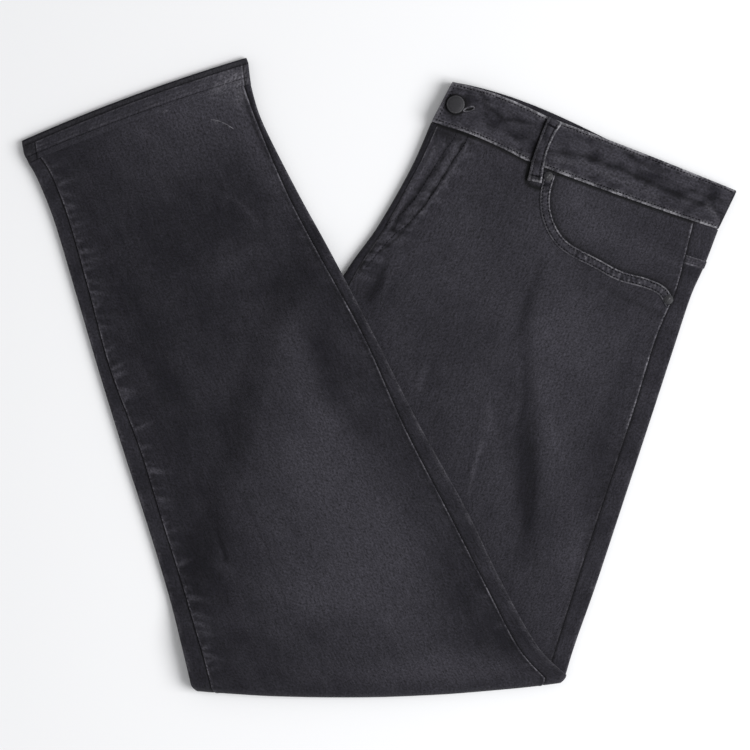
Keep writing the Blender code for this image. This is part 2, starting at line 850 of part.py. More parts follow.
def turned(name, centre, radius, base, profile, sides):
    """A round trim piece from its profile, turned about the vertical."""
    rings = [(share * radius, base + height * radius) for share, height in profile[1:-1]]
    points = [(centre[0], centre[1], base + profile[0][1] * radius)]
    for ring_radius, height in rings:
        for step in range(sides):
            angle = 2 * math.pi * step / sides
            points.append(
                (
                    centre[0] + ring_radius * math.cos(angle),
                    centre[1] + ring_radius * math.sin(angle),
                    height,
                )
            )
    points.append((centre[0], centre[1], base))
    faces = []
    for step in range(sides):
        after = (step + 1) % sides
        faces.append((0, 1 + step, 1 + after))
        for ring in range(len(rings) - 1):
            low = 1 + ring * sides
            faces.append((low + step, low + sides + step, low + sides + after, low + after))
        low = 1 + (len(rings) - 1) * sides
        faces.append((low + step, len(points) - 1, low + after))
    return mesh_object(name, points, faces, "metal")


def trim():
    """The belt loop, the waist button and the pocket's rivets."""
    ribbon("belt_loop", LOOP_TOP, LOOP_FOOT, BELT_LOOP, LOOP_WIDTH, LOOP_WALL, band_top)
    turned("waist_button", BUTTON_AT, BUTTON_RADIUS, band_top(*BUTTON_AT), BUTTON_PROFILE, 20)
    for name, centre in RIVETS_AT.items():
        base = thigh_top(*centre) + 2 * GAP + MOUTH_WALL + SEAM_RISE / 2
        turned(name, centre, RIVET_RADIUS, base, RIVET_PROFILE, 16)


def main():
    clear_scene()
    hidden_layers()
    right_front_panel()
    edge_layers()
    fly_edge()
    front_and_pocket()
    pocket_band()
    waistband()
    hems()
    trim()


main()
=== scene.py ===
"""The looks of the folded slim fit jeans: washed charcoal denim with its seams, stitches and trim.

Sizes are in millimetres, in the lay's own coordinates: +X to the right and +Y up as seen from above,
with the hems at the upper left and the waist at the upper right. Points become metres, with CENTRE at
the origin, when a mesh is made. A point of the garment is found from its section, its distance in from
the left edge, and its depth under the right front's outer face, which is underneath on the thigh and on
top after the fold.
"""

from __future__ import annotations

import logging
import math
from dataclasses import dataclass, field
from enum import Enum
from typing import Iterable, NamedTuple, Optional, Sequence

import bpy
import numpy as np
from bpy.types import ID, Material, Mesh, Node, NodeSocket, NodeTree, Object
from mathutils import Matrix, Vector
from mathutils.bvhtree import BVHTree

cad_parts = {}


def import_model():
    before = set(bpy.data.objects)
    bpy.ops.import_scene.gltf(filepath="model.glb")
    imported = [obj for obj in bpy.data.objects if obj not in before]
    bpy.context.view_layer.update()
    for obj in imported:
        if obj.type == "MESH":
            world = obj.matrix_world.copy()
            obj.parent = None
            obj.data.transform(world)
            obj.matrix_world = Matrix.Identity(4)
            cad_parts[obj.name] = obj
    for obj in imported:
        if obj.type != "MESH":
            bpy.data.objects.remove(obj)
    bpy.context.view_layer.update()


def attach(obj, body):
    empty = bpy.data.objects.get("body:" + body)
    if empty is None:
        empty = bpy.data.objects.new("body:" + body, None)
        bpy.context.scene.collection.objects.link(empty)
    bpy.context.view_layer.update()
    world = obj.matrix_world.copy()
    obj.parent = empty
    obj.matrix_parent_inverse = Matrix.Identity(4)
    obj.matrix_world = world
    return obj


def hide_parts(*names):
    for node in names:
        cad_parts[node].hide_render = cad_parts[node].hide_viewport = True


log = logging.getLogger("jeans")
Array = np.ndarray
Pair = tuple[float, float]
Triple = tuple[float, float, float]

MM = 0.001
CENTRE = (-1.28, 0.2)
ABOVE_ALL = 200.0  # A height over every piece

# Cloth
WALL = 1.2
GAP = 0.3
SKIN = WALL + GAP
CORE_SLACK = 0.35
SEAM_RISE = 0.6
EDGE_OFFSETS = (0.0, 0.35, 0.8, 1.3, 1.9, 2.6, 3.4, 4.4)

# Stack heights
THIGH_STACK = 7.9
LEG_STACK = 6.4
LEG_REST = THIGH_STACK + GAP
PIVOT = (LEG_REST + LEG_STACK) / 2
DRAPE_START = 17.0
DRAPE_WIDTH = 36.0
FOLD_CORNER = 4.5


class Side(Enum):
    """The side of the folded garment that a layer wraps round."""

    LEFT = "left"
    RIGHT = "right"


class Face(Enum):
    """The face that a layer ends on: the surface's, or the upper one."""

    LOWER = "lower"
    UPPER = "upper"


class Run(Enum):
    """The stretch of the folded garment that a station lies on."""

    THIGH = "thigh"
    TURN = "turn"
    LEG = "leg"


class Section(NamedTuple):
    """Where one section's edges lie, how it bows, its height and its seams' places."""

    left_x: float
    left_y: float
    right_x: float
    right_y: float
    bow: float
    stack: float
    left_seam: float
    right_seam: float

    @property
    def left(self) -> Array:
        """The left edge's point."""
        return np.array((self.left_x, self.left_y))

    @property
    def width(self) -> float:
        """The distance between the two edges."""
        return math.hypot(self.right_x - self.left_x, self.right_y - self.left_y)

    @property
    def along(self) -> Array:
        """The unit vector from the left edge to the right one."""
        return np.array((self.right_x - self.left_x, self.right_y - self.left_y)) / self.width

    @property
    def down(self) -> Array:
        """The unit vector across the section, towards the fold on the thigh."""
        return np.array((self.along[1], -self.along[0]))

    def level(self, distance: Array) -> Array:
        """Points on the bowed line of the section, at distances from its left edge."""
        share = np.clip(distance / self.width, 0.0, 1.0)
        sag = self.bow * 4.0 * share * (1.0 - share)
        return self.left + np.outer(distance, self.along) + np.outer(sag, self.down)


def rows_of(kind: type, *rows: Sequence[float]) -> tuple:
    """Rows of numbers as a table of one kind of row."""
    return tuple(kind(*row) for row in rows)


# From the waist seam to the fold
THIGH = rows_of(
    Section,
    (45.4, 229, 302.9, 132.5, 3, 10.5, 3, 23),
    (27.5, 188.3, 291.1, 101.2, 2, 8.6, 4, 19),
    (-2.2, 136.2, 278.8, 73.4, 1, 7.9, 6, 14.5),
    (-31.8, 94, 264.5, 30.3, 0, 7.9, 8.5, 18),
    (-72.2, 20.4, 242.9, -36.2, 0, 7.9, 13, 17),
    (-99.1, -73.9, 217.8, -112.5, 0, 7.9, 15, 17.5),
    (-127, -172.6, 193.5, -186.1, 0, 7.9, 16, 18),
    (-153, -243, 175.1, -238, 4, 7.9, 17, 16.5),
    (-170, -273.5, 166.5, -266, 9.5, 7.9, 18, 17),
)
CROTCH_ROW = 4
YOKE_SEAM = (0.88, 1.12)

# From the fold to the hem's stitch line
LEG = rows_of(
    Section,
    (-170, -273.5, 166.5, -266, 9.5, 6.4, 18, 19),
    (-177.5, -242.3, 140.4, -239.7, 4, 6.4, 17, 17),
    (-190.5, -193.9, 108.1, -182.3, 0, 6.4, 15, 15),
    (-208.4, -134.8, 74.9, -114.1, 0, 6.4, 14, 16.5),
    (-230.8, -65.7, 34.6, -41.5, 0, 6.4, 15, 13.5),
    (-253.2, 6.9, -5.8, 38.3, 0, 6.4, 10.5, 9),
    (-275.1, 81.4, -45.8, 114.6, 0, 6.6, 12, 10.5),
    (-293.2, 141.6, -74.9, 167.7, 0, 7.2, 13, 9),
    (-307.5, 177.6, -105.9, 229.6, -2, 8.4, 13, 4.5),
    (-315.6, 192.2, -116.4, 263.3, -3, 9.4, 12, 6),
)

# From the hem's stitch line to the back hem's edge
HEM = rows_of(
    Section,
    (-318.4, 191.65, -116.2, 263.7, -3, 9.6, 12, 6),
    (-322, 211.2, -119.8, 286.1, -3.5, 10, 12, 6),
)

# How far the waist's front swells up near its closed end, and over which share of its width
SWELL, SWELL_SHARE = 3.1, 0.33

# From the waist seam to the waistband's top edge
BAND = rows_of(
    Section,
    (45.6, 229.5, 303.1, 133, 3, 10.5, 0, 0),
    (64.2, 265.1, 319.7, 167.4, -1.8, 10.5, 0, 0),
)


def smoothstep(share: Array) -> Array:
    """From 0 to 1 with level ends."""
    share = np.clip(share, 0.0, 1.0)
    return share * share * (3.0 - 2.0 * share)


def bump(distance: Array, width: float) -> Array:
    """A soft ridge of height 1: 1 at no distance, and next to nothing two widths away."""
    return np.exp(-((distance / width) ** 2))


def curve_at(table: Array, at: float) -> Array:
    """The row at a fractional place of a table, on a smooth curve through its rows."""
    last = len(table) - 1
    row = min(int(at), last - 1)
    t = at - row
    before, start, end, after = (table[min(max(row + k, 0), last)] for k in (-1, 0, 1, 2))
    return (
        (2 * t**3 - 3 * t**2 + 1) * start
        + (t**3 - 2 * t**2 + t) * (end - before) / 2
        + (3 * t**2 - 2 * t**3) * end
        + (t**3 - t**2) * (after - start) / 2
    )


def travel_of(points: Array) -> Array:
    """How far each of a line of flat points lies from the first, along the line."""
    return np.concatenate(([0.0], np.cumsum(np.hypot(*np.diff(points, axis=0).T))))


def smooth_row(rows: Sequence[Section], at: float) -> Section:
    """The section at a fractional place of a table, where 0 is the first row and 1 the second."""
    return Section(*curve_at(np.array(rows, float), at))


def between(rows: Sequence[Section], share: float) -> Section:
    """The section at a share of the way from the first of two to the second."""
    return Section(*(a + (b - a) * share for a, b in zip(*rows)))


def even_places(rows: Sequence[Section], spacing: float, start: float, end: float) -> list[float]:
    """Places along a table of sections that are about evenly spaced on the cloth.

    Args:
        rows: The table.
        spacing: The distance between two places.
        start: The first place.
        end: The last place.

    Returns:
        The places, `start` and `end` among them.
    """
    fine = np.linspace(start, end, 200)
    middles = np.array([smooth_row(rows, at).level(np.array([120.0]))[0] for at in fine])
    travel = travel_of(middles)
    count = max(int(travel[-1] / spacing), 1)
    return list(np.interp(np.linspace(0.0, travel[-1], count + 1), travel, fine))


def edge_line(rows: Sequence[Section], side: Side) -> Array:
    """Points along one edge of a run."""
    found = np.array([smooth_row(rows, k / 6) for k in range((len(rows) - 1) * 6 + 1)])
    return found[:, :2] if side is Side.LEFT else found[:, 2:4]


def reach_from(points: Array, line: Sequence[Sequence[float]]) -> Array:
    """How far points lie from a line of points, with what lies to the line's left counted as negative."""
    line = np.asarray(line, float)
    start, run = line[:-1], np.diff(line, axis=0)
    reach = points[:, None] - start[None]
    share = np.clip((reach * run).sum(2) / (run * run).sum(1), 0.0, 1.0)
    away = reach - run * share[..., None]
    gap = np.hypot(away[..., 0], away[..., 1])
    near = gap.argmin(1)
    rows = np.arange(len(points))
    cross = run[near, 0] * away[rows, near, 1] - run[near, 1] * away[rows, near, 0]
    return np.where(cross > 0, -gap[rows, near], gap[rows, near])


FLY_LINE = (
    (78.6, 216.0), (73.2, 207.8), (57.0, 180.9), (42.6, 160.0),
    (26.5, 137.8), (13.1, 128.9), (2.0, 117.0), (-12.0, 100.0),
)
THIGH_EDGE = edge_line(THIGH, Side.LEFT)
LEG_EDGE = edge_line(LEG, Side.RIGHT)


def rest_height(points: Array) -> Array:
    """How high the lower leg rests at points: on the thigh, or coming down beside it."""
    outside = reach_from(points, THIGH_EDGE)
    return LEG_REST * smoothstep(1.0 - (outside - DRAPE_START) / DRAPE_WIDTH)


@dataclass(frozen=True)
class Station:
    """A section with its place in the folded run."""

    section: Section
    run: Run
    turn: float = 0.0
    edge_in: float = 0.0

    @property
    def split(self) -> float:
        """The depth at which one leg lies on the other."""
        return self.section.stack / 2

    def place(self, distance: Array, depth: Array) -> Array:
        """Points of the folded garment.

        Args:
            distance: Distances from the left edge.
            depth: Depths under the right front's outer face.

        Returns:
            An X, Y and Z for each pair.
        """
        distance, depth = np.broadcast_arrays(np.asarray(distance, float), np.asarray(depth, float))
        squeeze = 1.0 - 2.0 * self.edge_in / self.section.width
        flat = self.section.level(self.edge_in + distance * squeeze)
        if self.run is Run.TURN:
            reach = PIVOT - depth
            flat = flat + np.outer(reach * math.sin(self.turn), self.section.down)
            return np.column_stack((flat, PIVOT - reach * math.cos(self.turn)))
        if self.run is Run.LEG:
            return np.column_stack((flat, rest_height(flat) + self.section.stack - depth))
        return np.column_stack((flat, depth))


def swell_at(distance: Array, width: float) -> Array:
    """How far the waist's top layer swells up at distances from the left edge."""
    return SWELL * np.sin(math.pi * np.clip(distance / (SWELL_SHARE * width), 0.0, 1.0))


def thigh_stations(spacing: float, start: float = 0.0, end: float = 8.0) -> list[Station]:
    """Stations from one row of the thigh's table to another."""
    return [Station(smooth_row(THIGH, at), Run.THIGH) for at in even_places(THIGH, spacing, start, end)]


def turn_stations(steps: int = 14) -> list[Station]:
    """Stations round the fold, between the thigh's last and the leg's first."""
    found = []
    for step in range(1, steps):
        share = step / steps
        turn = math.pi * share
        mixed = between((THIGH[-1], LEG[0]), share)
        mixed = mixed._replace(stack=THIGH_STACK + (LEG_STACK - THIGH_STACK) * share)
        found.append(Station(mixed, Run.TURN, turn, FOLD_CORNER * math.sin(turn) ** 2))
    return found


def leg_stations(spacing: float) -> list[Station]:
    """Stations from the fold to the hem."""
    return [Station(smooth_row(LEG, at), Run.LEG, math.pi) for at in even_places(LEG, spacing, 0.0, 9.0)]


def whole_run(thigh: float, leg: float) -> list[Station]:
    """Every station, from the waist seam round the fold to the hem, at two spacings."""
    return thigh_stations(thigh) + turn_stations() + leg_stations(leg)


# Relief, wash, wear and painted shade, placed on the cloth that shows


class Crease(NamedTuple):
    """A soft ridge of the cloth between two places, or a trough where its height is negative."""

    start_x: float
    start_y: float
    end_x: float
    end_y: float
    width: float
    height: float


class Patch(NamedTuple):
    """A soft oval patch where the wash has faded the cloth, or left it darker where negative."""

    x: float
    y: float
    long: float
    short: float
    angle: float
    fade: float


LEG_CREASES = rows_of(
    Crease,
    (-130.4, 258, -99, 198.8, 3.5, -1.3), (-122, 262, -92, 205, 4.5, 1),
    (-144.7, -145.5, -138.5, -164.3, 2, -0.9), (-152, -160, -120, -196, 9, 0.7),
    (-98, 120, -150, 92, 8, 0.7), (-88, 92, -132, 70, 7, -0.6), (-92, 60, -40, -60, 14, 0.9),
    (-60, 40, -12, -60, 10, -0.7), (-215, 120, -170, -40, 20, 0.9), (-190, 20, -130, -110, 18, -0.8),
    (-100, -60, -10, -190, 26, 1), (-60, -110, 60, -230, 16, -0.7), (-170, -215, -60, -235, 12, 0.8),
    (-40, -250, 90, -232, 10, -0.6),
)

THIGH_CREASES = rows_of(
    Crease,
    (127.8, 70.6, 134.1, -130.3, 7, -0.9), (142, 60, 150, -90, 9, 0.8), (60, 120, 150, 20, 20, 0.7),
    (180, 60, 196, -60, 12, 0.7), (228, 40, 200, -70, 10, -0.6), (165, -110, 175, -190, 12, 0.7),
)

LEG_PATCHES = rows_of(
    Patch,
    (0, -150, 130, 48, -62, 0.5), (-50, -120, 150, 42, -68, 0.28), (-70, -10, 110, 34, -68, 0.2),
    (-124, 262, 46, 24, 25, 0.85), (-165, 248, 80, 20, 20, 0.42), (-150, 226, 100, 40, 15, 0.28),
    (-150, 185, 100, 36, 15, 0.12), (-108, 215, 60, 14, -62, 0.3), (-100, -136, 90, 26, -75, 0.22),
    (-58, -195, 50, 26, 0, 0.34), (-5, -140, 70, 25, -62, 0.18), (0, -252, 130, 24, 2, 0.22),
    (-139, -84, 60, 16, -70, 0.2), (-200, -60, 180, 30, -72, -0.06), (-20, 20, 70, 12, -58, 0.14),
    (-45, -145, 130, 60, -62, 0.1), (-59, -200, 42, 30, 0, 0.26), (53, -266, 80, 17, 2, 0.26),
    (49, -226, 34, 22, -60, 0.2), (13, -150, 50, 22, -62, 0.16), (-142, -75, 64, 28, -80, 0.2),
    (-86, -141, 44, 26, -70, 0.16), (-5, -65, 44, 19, -62, 0.16), (-30, -22, 28, 17, -62, 0.24),
    (-220, 107, 44, 30, -80, -0.2), (-197, 60, 40, 28, -80, -0.16), (-139, -208, 26, 50, 0, -0.14),
    (-170, 218, 66, 26, 15, 0.16), (116, -240, 34, 15, -35, -0.32), (-59, 110, 24, 13, -62, 0.32),
    (-86, 164, 22, 13, -62, 0.34), (-112, 200, 40, 12, -62, 0.35), (100, -262, 50, 16, 0, 0.2),
    (-42, -250, 44, 26, 0, 0.16), (-40, -100, 60, 30, -62, -0.08), (-60, -196, 34, 24, 0, 0.14),
    (30, -262, 120, 14, 2, 0.12),
)

THIGH_BASE = 0.37
THIGH_PATCHES = rows_of(
    Patch,
    (205, 40, 130, 44, -75, 0.2), (175, 170, 90, 30, -20, 0.1), (90, 150, 90, 60, -40, 0.06),
    (160, 10, 120, 20, -86, 0.22), (176, -120, 90, 18, -75, 0.1), (131, -100, 62, 12, -88, -0.5),
    (100, -60, 90, 12, -82, 0.2), (126, 60, 40, 14, -60, -0.15), (205, -55, 60, 20, -72, -0.34),
    (108, -230, 50, 18, -60, -0.5), (76, 137, 22, 20, 0, 0.22), (49, -22, 48, 15, -78, -0.26),
    (185, -112, 56, 22, -75, -0.22), (264, 115, 32, 20, -70, -0.28), (17, 130, 18, 12, -60, -0.24),
    (-2, 69, 18, 20, 0, -0.22), (225, -14, 30, 12, -72, -0.15), (-5, 83, 18, 16, 0, -0.26),
    (200, -90, 60, 24, -72, -0.2),
)


class Stroke(NamedTuple):
    """A line on the cloth: where it runs, its width, its height, and its fade, wear and shade."""

    line: tuple[Pair, ...]
    width: float
    rise: float
    fade: float
    wear: float
    shade: float


def strokes_of(*rows: Sequence[float]) -> tuple[Stroke, ...]:
    """Strokes from rows of width, rise, fade, wear and shade, then the line's X and Y in turn."""
    return tuple(Stroke(tuple(zip(row[5::2], row[6::2])), *row[:5]) for row in rows)


FIBRE = ((-151.9, 231.5), (-147.4, 230.9), (-142.9, 229.5), (-137.6, 226.9), (-132.2, 223.4))

# A stroke's shade is painted shade in the troughs it runs along.
LEG_STROKES = strokes_of(
    (12, 0.2, 0.3, 0.55, 0, -142, 263.3, -127.7, 270.5, -123.2, 258),
    (1.5, 0.2, 0.7, 0.5, 0, -142, 278.6, -131.3, 280.8, -123.2, 277.7, -119.6, 268.7, -116.9, 258, -111.6,
     241.8),
    (1.5, 0.2, 0.25, 0.2, 0, -316, 201.5, -308.8, 188, -299, 162.9),
    (1.7, 0.6, 0.55, 0.1, 0, -132.2, 266.9, -120.5, 250.8, -106.2, 217.6, -92.7, 189.8),
    (0.6, 0, 0, 0.55, 0, -151, 230.2, -142, 228.4, -134, 223.9),
    (0.6, 0, 0, 0.4, 0, -200.3, 238.7, -195.8, 238.2, -190.5, 239.6),
    (2.4, 0.3, 0.28, 0, 0, -139.4, 163.8, -125.9, 156.7, -110.7, 139.6),
    (1.4, -0.4, -0.1, 0, 0.16, -124.4, -103.4, -114.2, -124.9, -100.8, -154.5, -83.8, -205.6),
    (1.6, -0.5, -0.1, 0, 0.22, -146.8, -136.5, -137.8, -163.4),
    (3, 0.4, 0.25, 0, 0, -12.3, -148.2, -2.2, -165.2, 8.6, -181.4),
    (2.2, 0.3, 0.2, 0, 0, -149.2, 195.2, -142, 180.9, -138.5, 170.1),
)

# A stroke's shade is painted shade: in troughs along the fly and on the thigh, under the waistband by the
# fly, and round the belt loop's foot.
THIGH_STROKES = strokes_of(
    (2, -0.2, -0.3, 0, 1.1, 135, 195.2, 132.3, 188, 131, 180.9, 131, 175.5, 135, 171.9, 142.2, 169.7, 144.9,
     170.5),
    (2, 1, 0.6, 0.12, 0, 48, 206, 42.7, 194.8, 35, 182.7, 27, 170.1, 18, 155.8, 13.1, 145.9, 6.8, 134.2),
    (1.9, -1.2, -0.35, 0, 0.42, 59.7, 208.7, 53.9, 195.7, 47, 185.8, 39.1, 175.7, 30, 162, 22, 153.1, 14.9,
     142.3, 11.1, 133),
    (2.3, 0.7, 0.5, 0.12, 0, 66.9, 206.9, 58.8, 192.5, 51.6, 182.7, 42.7, 169.2, 33.7, 158.4, 24.7, 145.9),
    (1.1, -0.6, -0.25, 0, 0.75, 73.1, 207.8, 65.1, 193.4, 57, 180.9, 48.9, 169.2, 42.7, 160.2, 39.1, 154,
     32.8, 147.7, 24.7, 136.9, 13.1, 123.5, -0.4, 112.7),
    (1.7, 0.5, 0.5, 0.2, 0, 76.7, 206.9, 68.7, 192.5, 60.6, 180, 52.5, 168.3, 45.4, 158.4, 35.5, 146.8),
    (4.4, -0.3, -0.3, 0, 0.5, 49.8, 220.3, 62.4, 215.8, 78.5, 210.4),
    (1.2, -0.3, -0.2, 0, 0.75, 133.2, 188.9, 131.4, 178.2),
    (1.4, 0.2, 0.3, 0.6, 0, 262.3, 67, 250.7, 33.8, 234.5, -9.2, 221.1, -44.2),
    (1.2, -0.5, -0.1, 0, 0.55, 37.9, 204.2, 24.7, 174.1, 17.6, 159.8, 6.8, 139.6, -5.8, 118.5, -25.9, 87.6),
    (4, -0.8, -0.25, 0, 0.25, 4.1, 103.7, -2.2, 83.1, -12.9, 69.7),
    (3, 0.5, 0.25, 0, 0, 6.8, 92.1, 3.2, 76.9, -0.4, 65.2),
    (4.5, -0.9, -0.15, 0, 0.14, 144, 103.7, 131.4, 69.7, 122.5, 38.3),
    (6, 0.5, 0.12, 0, 0, 118, 78.6, 111.7, 42.8, 105.4, 15.9),
    (4.5, -0.9, -0.1, 0, 0.16, 135, -42.4, 135.9, -91.7, 128.7, -136.5),
    (1.7, 0.6, 0.6, 0.1, 0, 90.2, -58.5, 82.1, -87.2, 75.8, -115.9),
    (1.6, -0.5, -0.15, 0, 0.3, 54.3, -27.2, 42.7, -50.5),
    (3, 0.4, 0.35, 0, 0, 40, 8.7, 33.7, -9.2),
    (2.4, 0.4, 0.4, 0, 0, 136.8, 50, 145.8, 52.6, 157.4, 55.3),
    (4, 0.5, 0.35, 0, 0, 95.6, -29, 98.3, -45.1),
    (5, 0.5, 0.3, 0, 0, 150.3, -36.1, 152.9, -55.9),
    (3, 0.4, 0.2, 0, 0, 121.6, 15.9, 125.2, -15.5, 119.8, -37.9),
    (2.6, -0.6, -0.1, 0, 0.3, 166.4, 123.5, 174.5, 109.1, 187.9, 98.4),
    (3.2, -0.5, -0.1, 0, 0.22, 196.9, 83.1, 214.8, 73.3, 246.2, 58.9),
)

# A stroke's shade is painted shade: a ring round the button, the buttonhole's slit, a line beside the belt
# loop and the band's troughs.
BAND_STROKES = strokes_of(
    (1.3, -0.2, -0.2, 0, 0.75, 76.2, 244.4, 75, 248.8, 71.8, 252.1, 67.3, 253.3, 62.9, 252.1, 59.6, 248.8,
     58.4, 244.4, 59.6, 240, 62.8, 236.7, 67.3, 235.5, 71.8, 236.7, 75, 239.9, 76.2, 244.4),
    (2.3, -0.8, -0.3, 0, 0.26, 149.4, 203.3, 183.4, 198.8, 219.3, 185.3, 243.5, 173.7, 277.6, 159.3, 297.3,
     153.1),
    (3.2, 0.5, 0.42, 0.05, 0, 153.8, 196.1, 183.4, 191.6, 214.8, 177.3, 246.2, 162.9),
    (3.2, 0.4, 0.3, 0, 0, 165.5, 211.3, 196.9, 204.2, 232.7, 190.7, 268.6, 177.3),
    (1.7, -0.6, -0.25, 0, 0.28, 92, 249, 100, 240, 109.9, 232, 125.2, 230.2, 138.6, 227.5),
    (1.6, 0.4, 0.45, 0.05, 0, 86.6, 252.6, 98.3, 243.6),
    (3.6, 0.4, 0.42, 0, 0, 87.5, 222.1, 107.2, 216.7, 120.7, 210.4),
    (2.4, 0.3, 0.22, 0, 0, 107.2, 240, 125.2, 236.5, 141.3, 229.3),
    (2, 0.3, 0.55, 0.2, 0, 64.2, 263.3, 57, 249, 50.7, 234.7),
    (2.2, -0.3, -0.2, 0, 0.35, 76.7, 251.7, 78.5, 244.5),
    (2.2, -0.5, -0.2, 0, 0.18, 214.8, 204.2, 241.7, 188, 257.9, 184.4),
    (2, -0.5, -0.15, 0, 0.2, 277.6, 168.3, 297.3, 161.1, 309.9, 156.7),
    (2.2, 0.3, 0.45, 0.1, 0, 292.8, 154.9, 300.9, 144.1, 302.7, 135.1),
    (2.2, 0.3, 0.3, 0, 0, 196.9, 195.2, 202.3, 186.2),
    (1.8, -0.4, -0.2, 0, 0.2, 232.7, 168.3, 239.9, 175.5),
    (1.2, -0.6, -0.3, 0, 1, 74, 239.3, 79, 239.6, 83.9, 241.7),
    (1.2, -0.4, -0.2, 0, 0.85, 148.5, 230.2, 144, 218.5, 139, 206, 135, 195.2, 133.2, 188),
)


def marks_of(strokes: Iterable[Stroke], points: Array) -> Array:
    """The rise, fade, wear and shade that strokes give the cloth, as four rows."""
    total = np.zeros((4, len(points)))
    for stroke in strokes:
        total += np.outer(stroke[2:], bump(np.abs(reach_from(points, stroke.line)), stroke.width))
    return total


def relief_of(creases: Iterable[Crease], points: Array) -> Array:
    """The height that creases give the cloth at points."""
    total = np.zeros(len(points))
    for crease in creases:
        start = np.array((crease.start_x, crease.start_y))
        run = np.array((crease.end_x, crease.end_y)) - start
        length = math.hypot(*run)
        reach = points - start
        share = reach @ run / length**2
        across = (reach[:, 0] * run[1] - reach[:, 1] * run[0]) / length
        bend = crease.width * 0.5 * np.sin(share * 4.0 + crease.start_x)
        along = smoothstep((share + 0.25) / 0.5) * smoothstep((1.25 - share) / 0.5)
        total += crease.height * along * bump(across + bend, crease.width)
    return total


def fade_of(patches: Iterable[Patch], points: Array) -> Array:
    """How much patches of wash fade the cloth at points."""
    total = np.zeros(len(points))
    for patch in patches:
        angle = math.radians(patch.angle)
        reach = points - np.array((patch.x, patch.y))
        long = (reach @ np.array((math.cos(angle), math.sin(angle)))) / patch.long
        short = (reach @ np.array((-math.sin(angle), math.cos(angle)))) / patch.short
        total += patch.fade * np.exp(-(long**2 + short**2) * 1.2)
    return total


def sway(points: Array) -> Array:
    """A slight unevenness of cloth that lies loose, up to about half a millimetre."""
    x, y = points.T
    return (
        0.22 * np.sin(x / 21.0 + 1.3 * np.sin(y / 47.0))
        + 0.18 * np.sin(y / 17.0 + 1.7 * np.sin(x / 39.0) + 0.8)
        + 0.12 * np.sin((x + y) / 9.5 + 2.0 * np.sin(y / 31.0))
        + 0.10 * np.sin((x - 1.4 * y) / 12.0 + 1.1)
    )


@dataclass(frozen=True)
class Puckers:
    """Short ridges that a seam's thread draws up in the cloth beside it.

    Their places, lengths and heights are uneven, from a fixed seed.
    """

    pitch: float = 8.2
    width: float = 2.1
    reach: float = 9.0
    height: float = 0.95
    seed: int = 3

    def height_at(self, travel: Array, away: Array) -> Array:
        """The height at distances along a seam and away from it.

        Args:
            travel: Distances along the seam.
            away: Distances from the seam.

        Returns:
            A height for each pair.
        """
        rng = np.random.default_rng(self.seed)
        end = float(np.max(travel)) if len(travel) else 0.0
        count = int(max(end, 1200.0) / self.pitch)
        at = (np.arange(count) + rng.uniform(-0.35, 0.35, count)) * self.pitch
        widths = self.width * rng.uniform(0.6, 1.35, count)
        reaches = self.reach * rng.uniform(0.45, 1.6, count)
        heights = self.height * rng.uniform(0.25, 1.25, count)
        slants = rng.uniform(-0.45, 0.45, count)
        total = np.zeros(np.broadcast(travel, away).shape)
        for k in range(count):
            near = np.abs(travel - at[k]) < 4.0 * widths[k] + 14.0
            if np.any(near):
                gone = bump(travel - at[k] - slants[k] * away, widths[k]) * bump(away, reaches[k])
                total += near * heights[k] * gone
        return total * (1.0 - np.exp(-away / 1.6))


# Meshes


@dataclass
class Looks:
    """What the finish needs to know at each point of a cloth's outer face.

    `fade` is the wash, `wear` the rubbed threads of edges and ridges, and the last is painted shade: colour
    darkened in grooves, under edges and in openings where shade falls.
    """

    cut: Array
    fade: Array
    wear: Array
    grime: Array


Grids = tuple[Array, Array, Looks]


class Rows:
    """A cloth piece's rows of points and looks, taken in one by one."""

    def __init__(self) -> None:
        """Starts without a row."""
        self.kept: list[tuple[Array, ...]] = []
        self.travel = 0.0
        self.before: Optional[Array] = None

    def travel_to(self, point: Array) -> float:
        """How far along the piece a row's point lies, counted from the first row's."""
        if self.before is not None:
            self.travel += float(np.linalg.norm(point - self.before))
        self.before = point
        return self.travel

    def add(self, outer: Array, inner: Array, fade: Array, wear: Array, grime: Array) -> None:
        """Takes in a row: the points of its two faces, and its looks."""
        looks = (np.zeros(len(outer)) + values for values in (fade, wear, grime))
        self.kept.append((outer, inner, *looks))

    def grids(self) -> Grids:
        """The two faces' points and the looks, as grids."""
        outer, inner, *looks = (np.array(rows, float) for rows in zip(*self.kept))
        return outer, inner, Looks(cut_of(outer), *looks)


def cut_of(points: Array) -> Array:
    """Where each point of a grid lay in the flat cut, from the travel along its rows and columns."""
    across = np.linalg.norm(np.diff(points, axis=1), axis=2)
    across = np.concatenate((np.zeros((len(points), 1)), np.cumsum(across, axis=1)), axis=1)
    middle = points.shape[1] // 2
    across -= across[:, middle : middle + 1]
    along = np.linalg.norm(np.diff(points[:, middle], axis=0), axis=1)
    along = np.concatenate(([0.0], np.cumsum(along)))
    return np.dstack((across, np.repeat(along[:, None], points.shape[1], axis=1)))


def grid_faces(rows: int, columns: int) -> Array:
    """The quads of a grid of points."""
    corner = (np.arange(rows - 1)[:, None] * columns + np.arange(columns - 1)[None]).ravel()
    return np.column_stack((corner, corner + 1, corner + columns + 1, corner + columns))


def ring_faces(rings: int, around: int) -> Array:
    """The quads between rings of points that close on themselves."""
    ring, step = np.meshgrid(np.arange(rings - 1), np.arange(around), indexing="ij")
    here = (ring * around + step).ravel()
    there = (ring * around + (step + 1) % around).ravel()
    return np.column_stack((here, there, there + around, here + around))


def signed_volume(points: Array, faces: Array) -> float:
    """Six times the volume inside quads, negative where they face inwards."""
    a, b, c, d = (points[faces[:, k]] for k in range(4))
    return float((a * np.cross(b, c)).sum() + (a * np.cross(c, d)).sum())


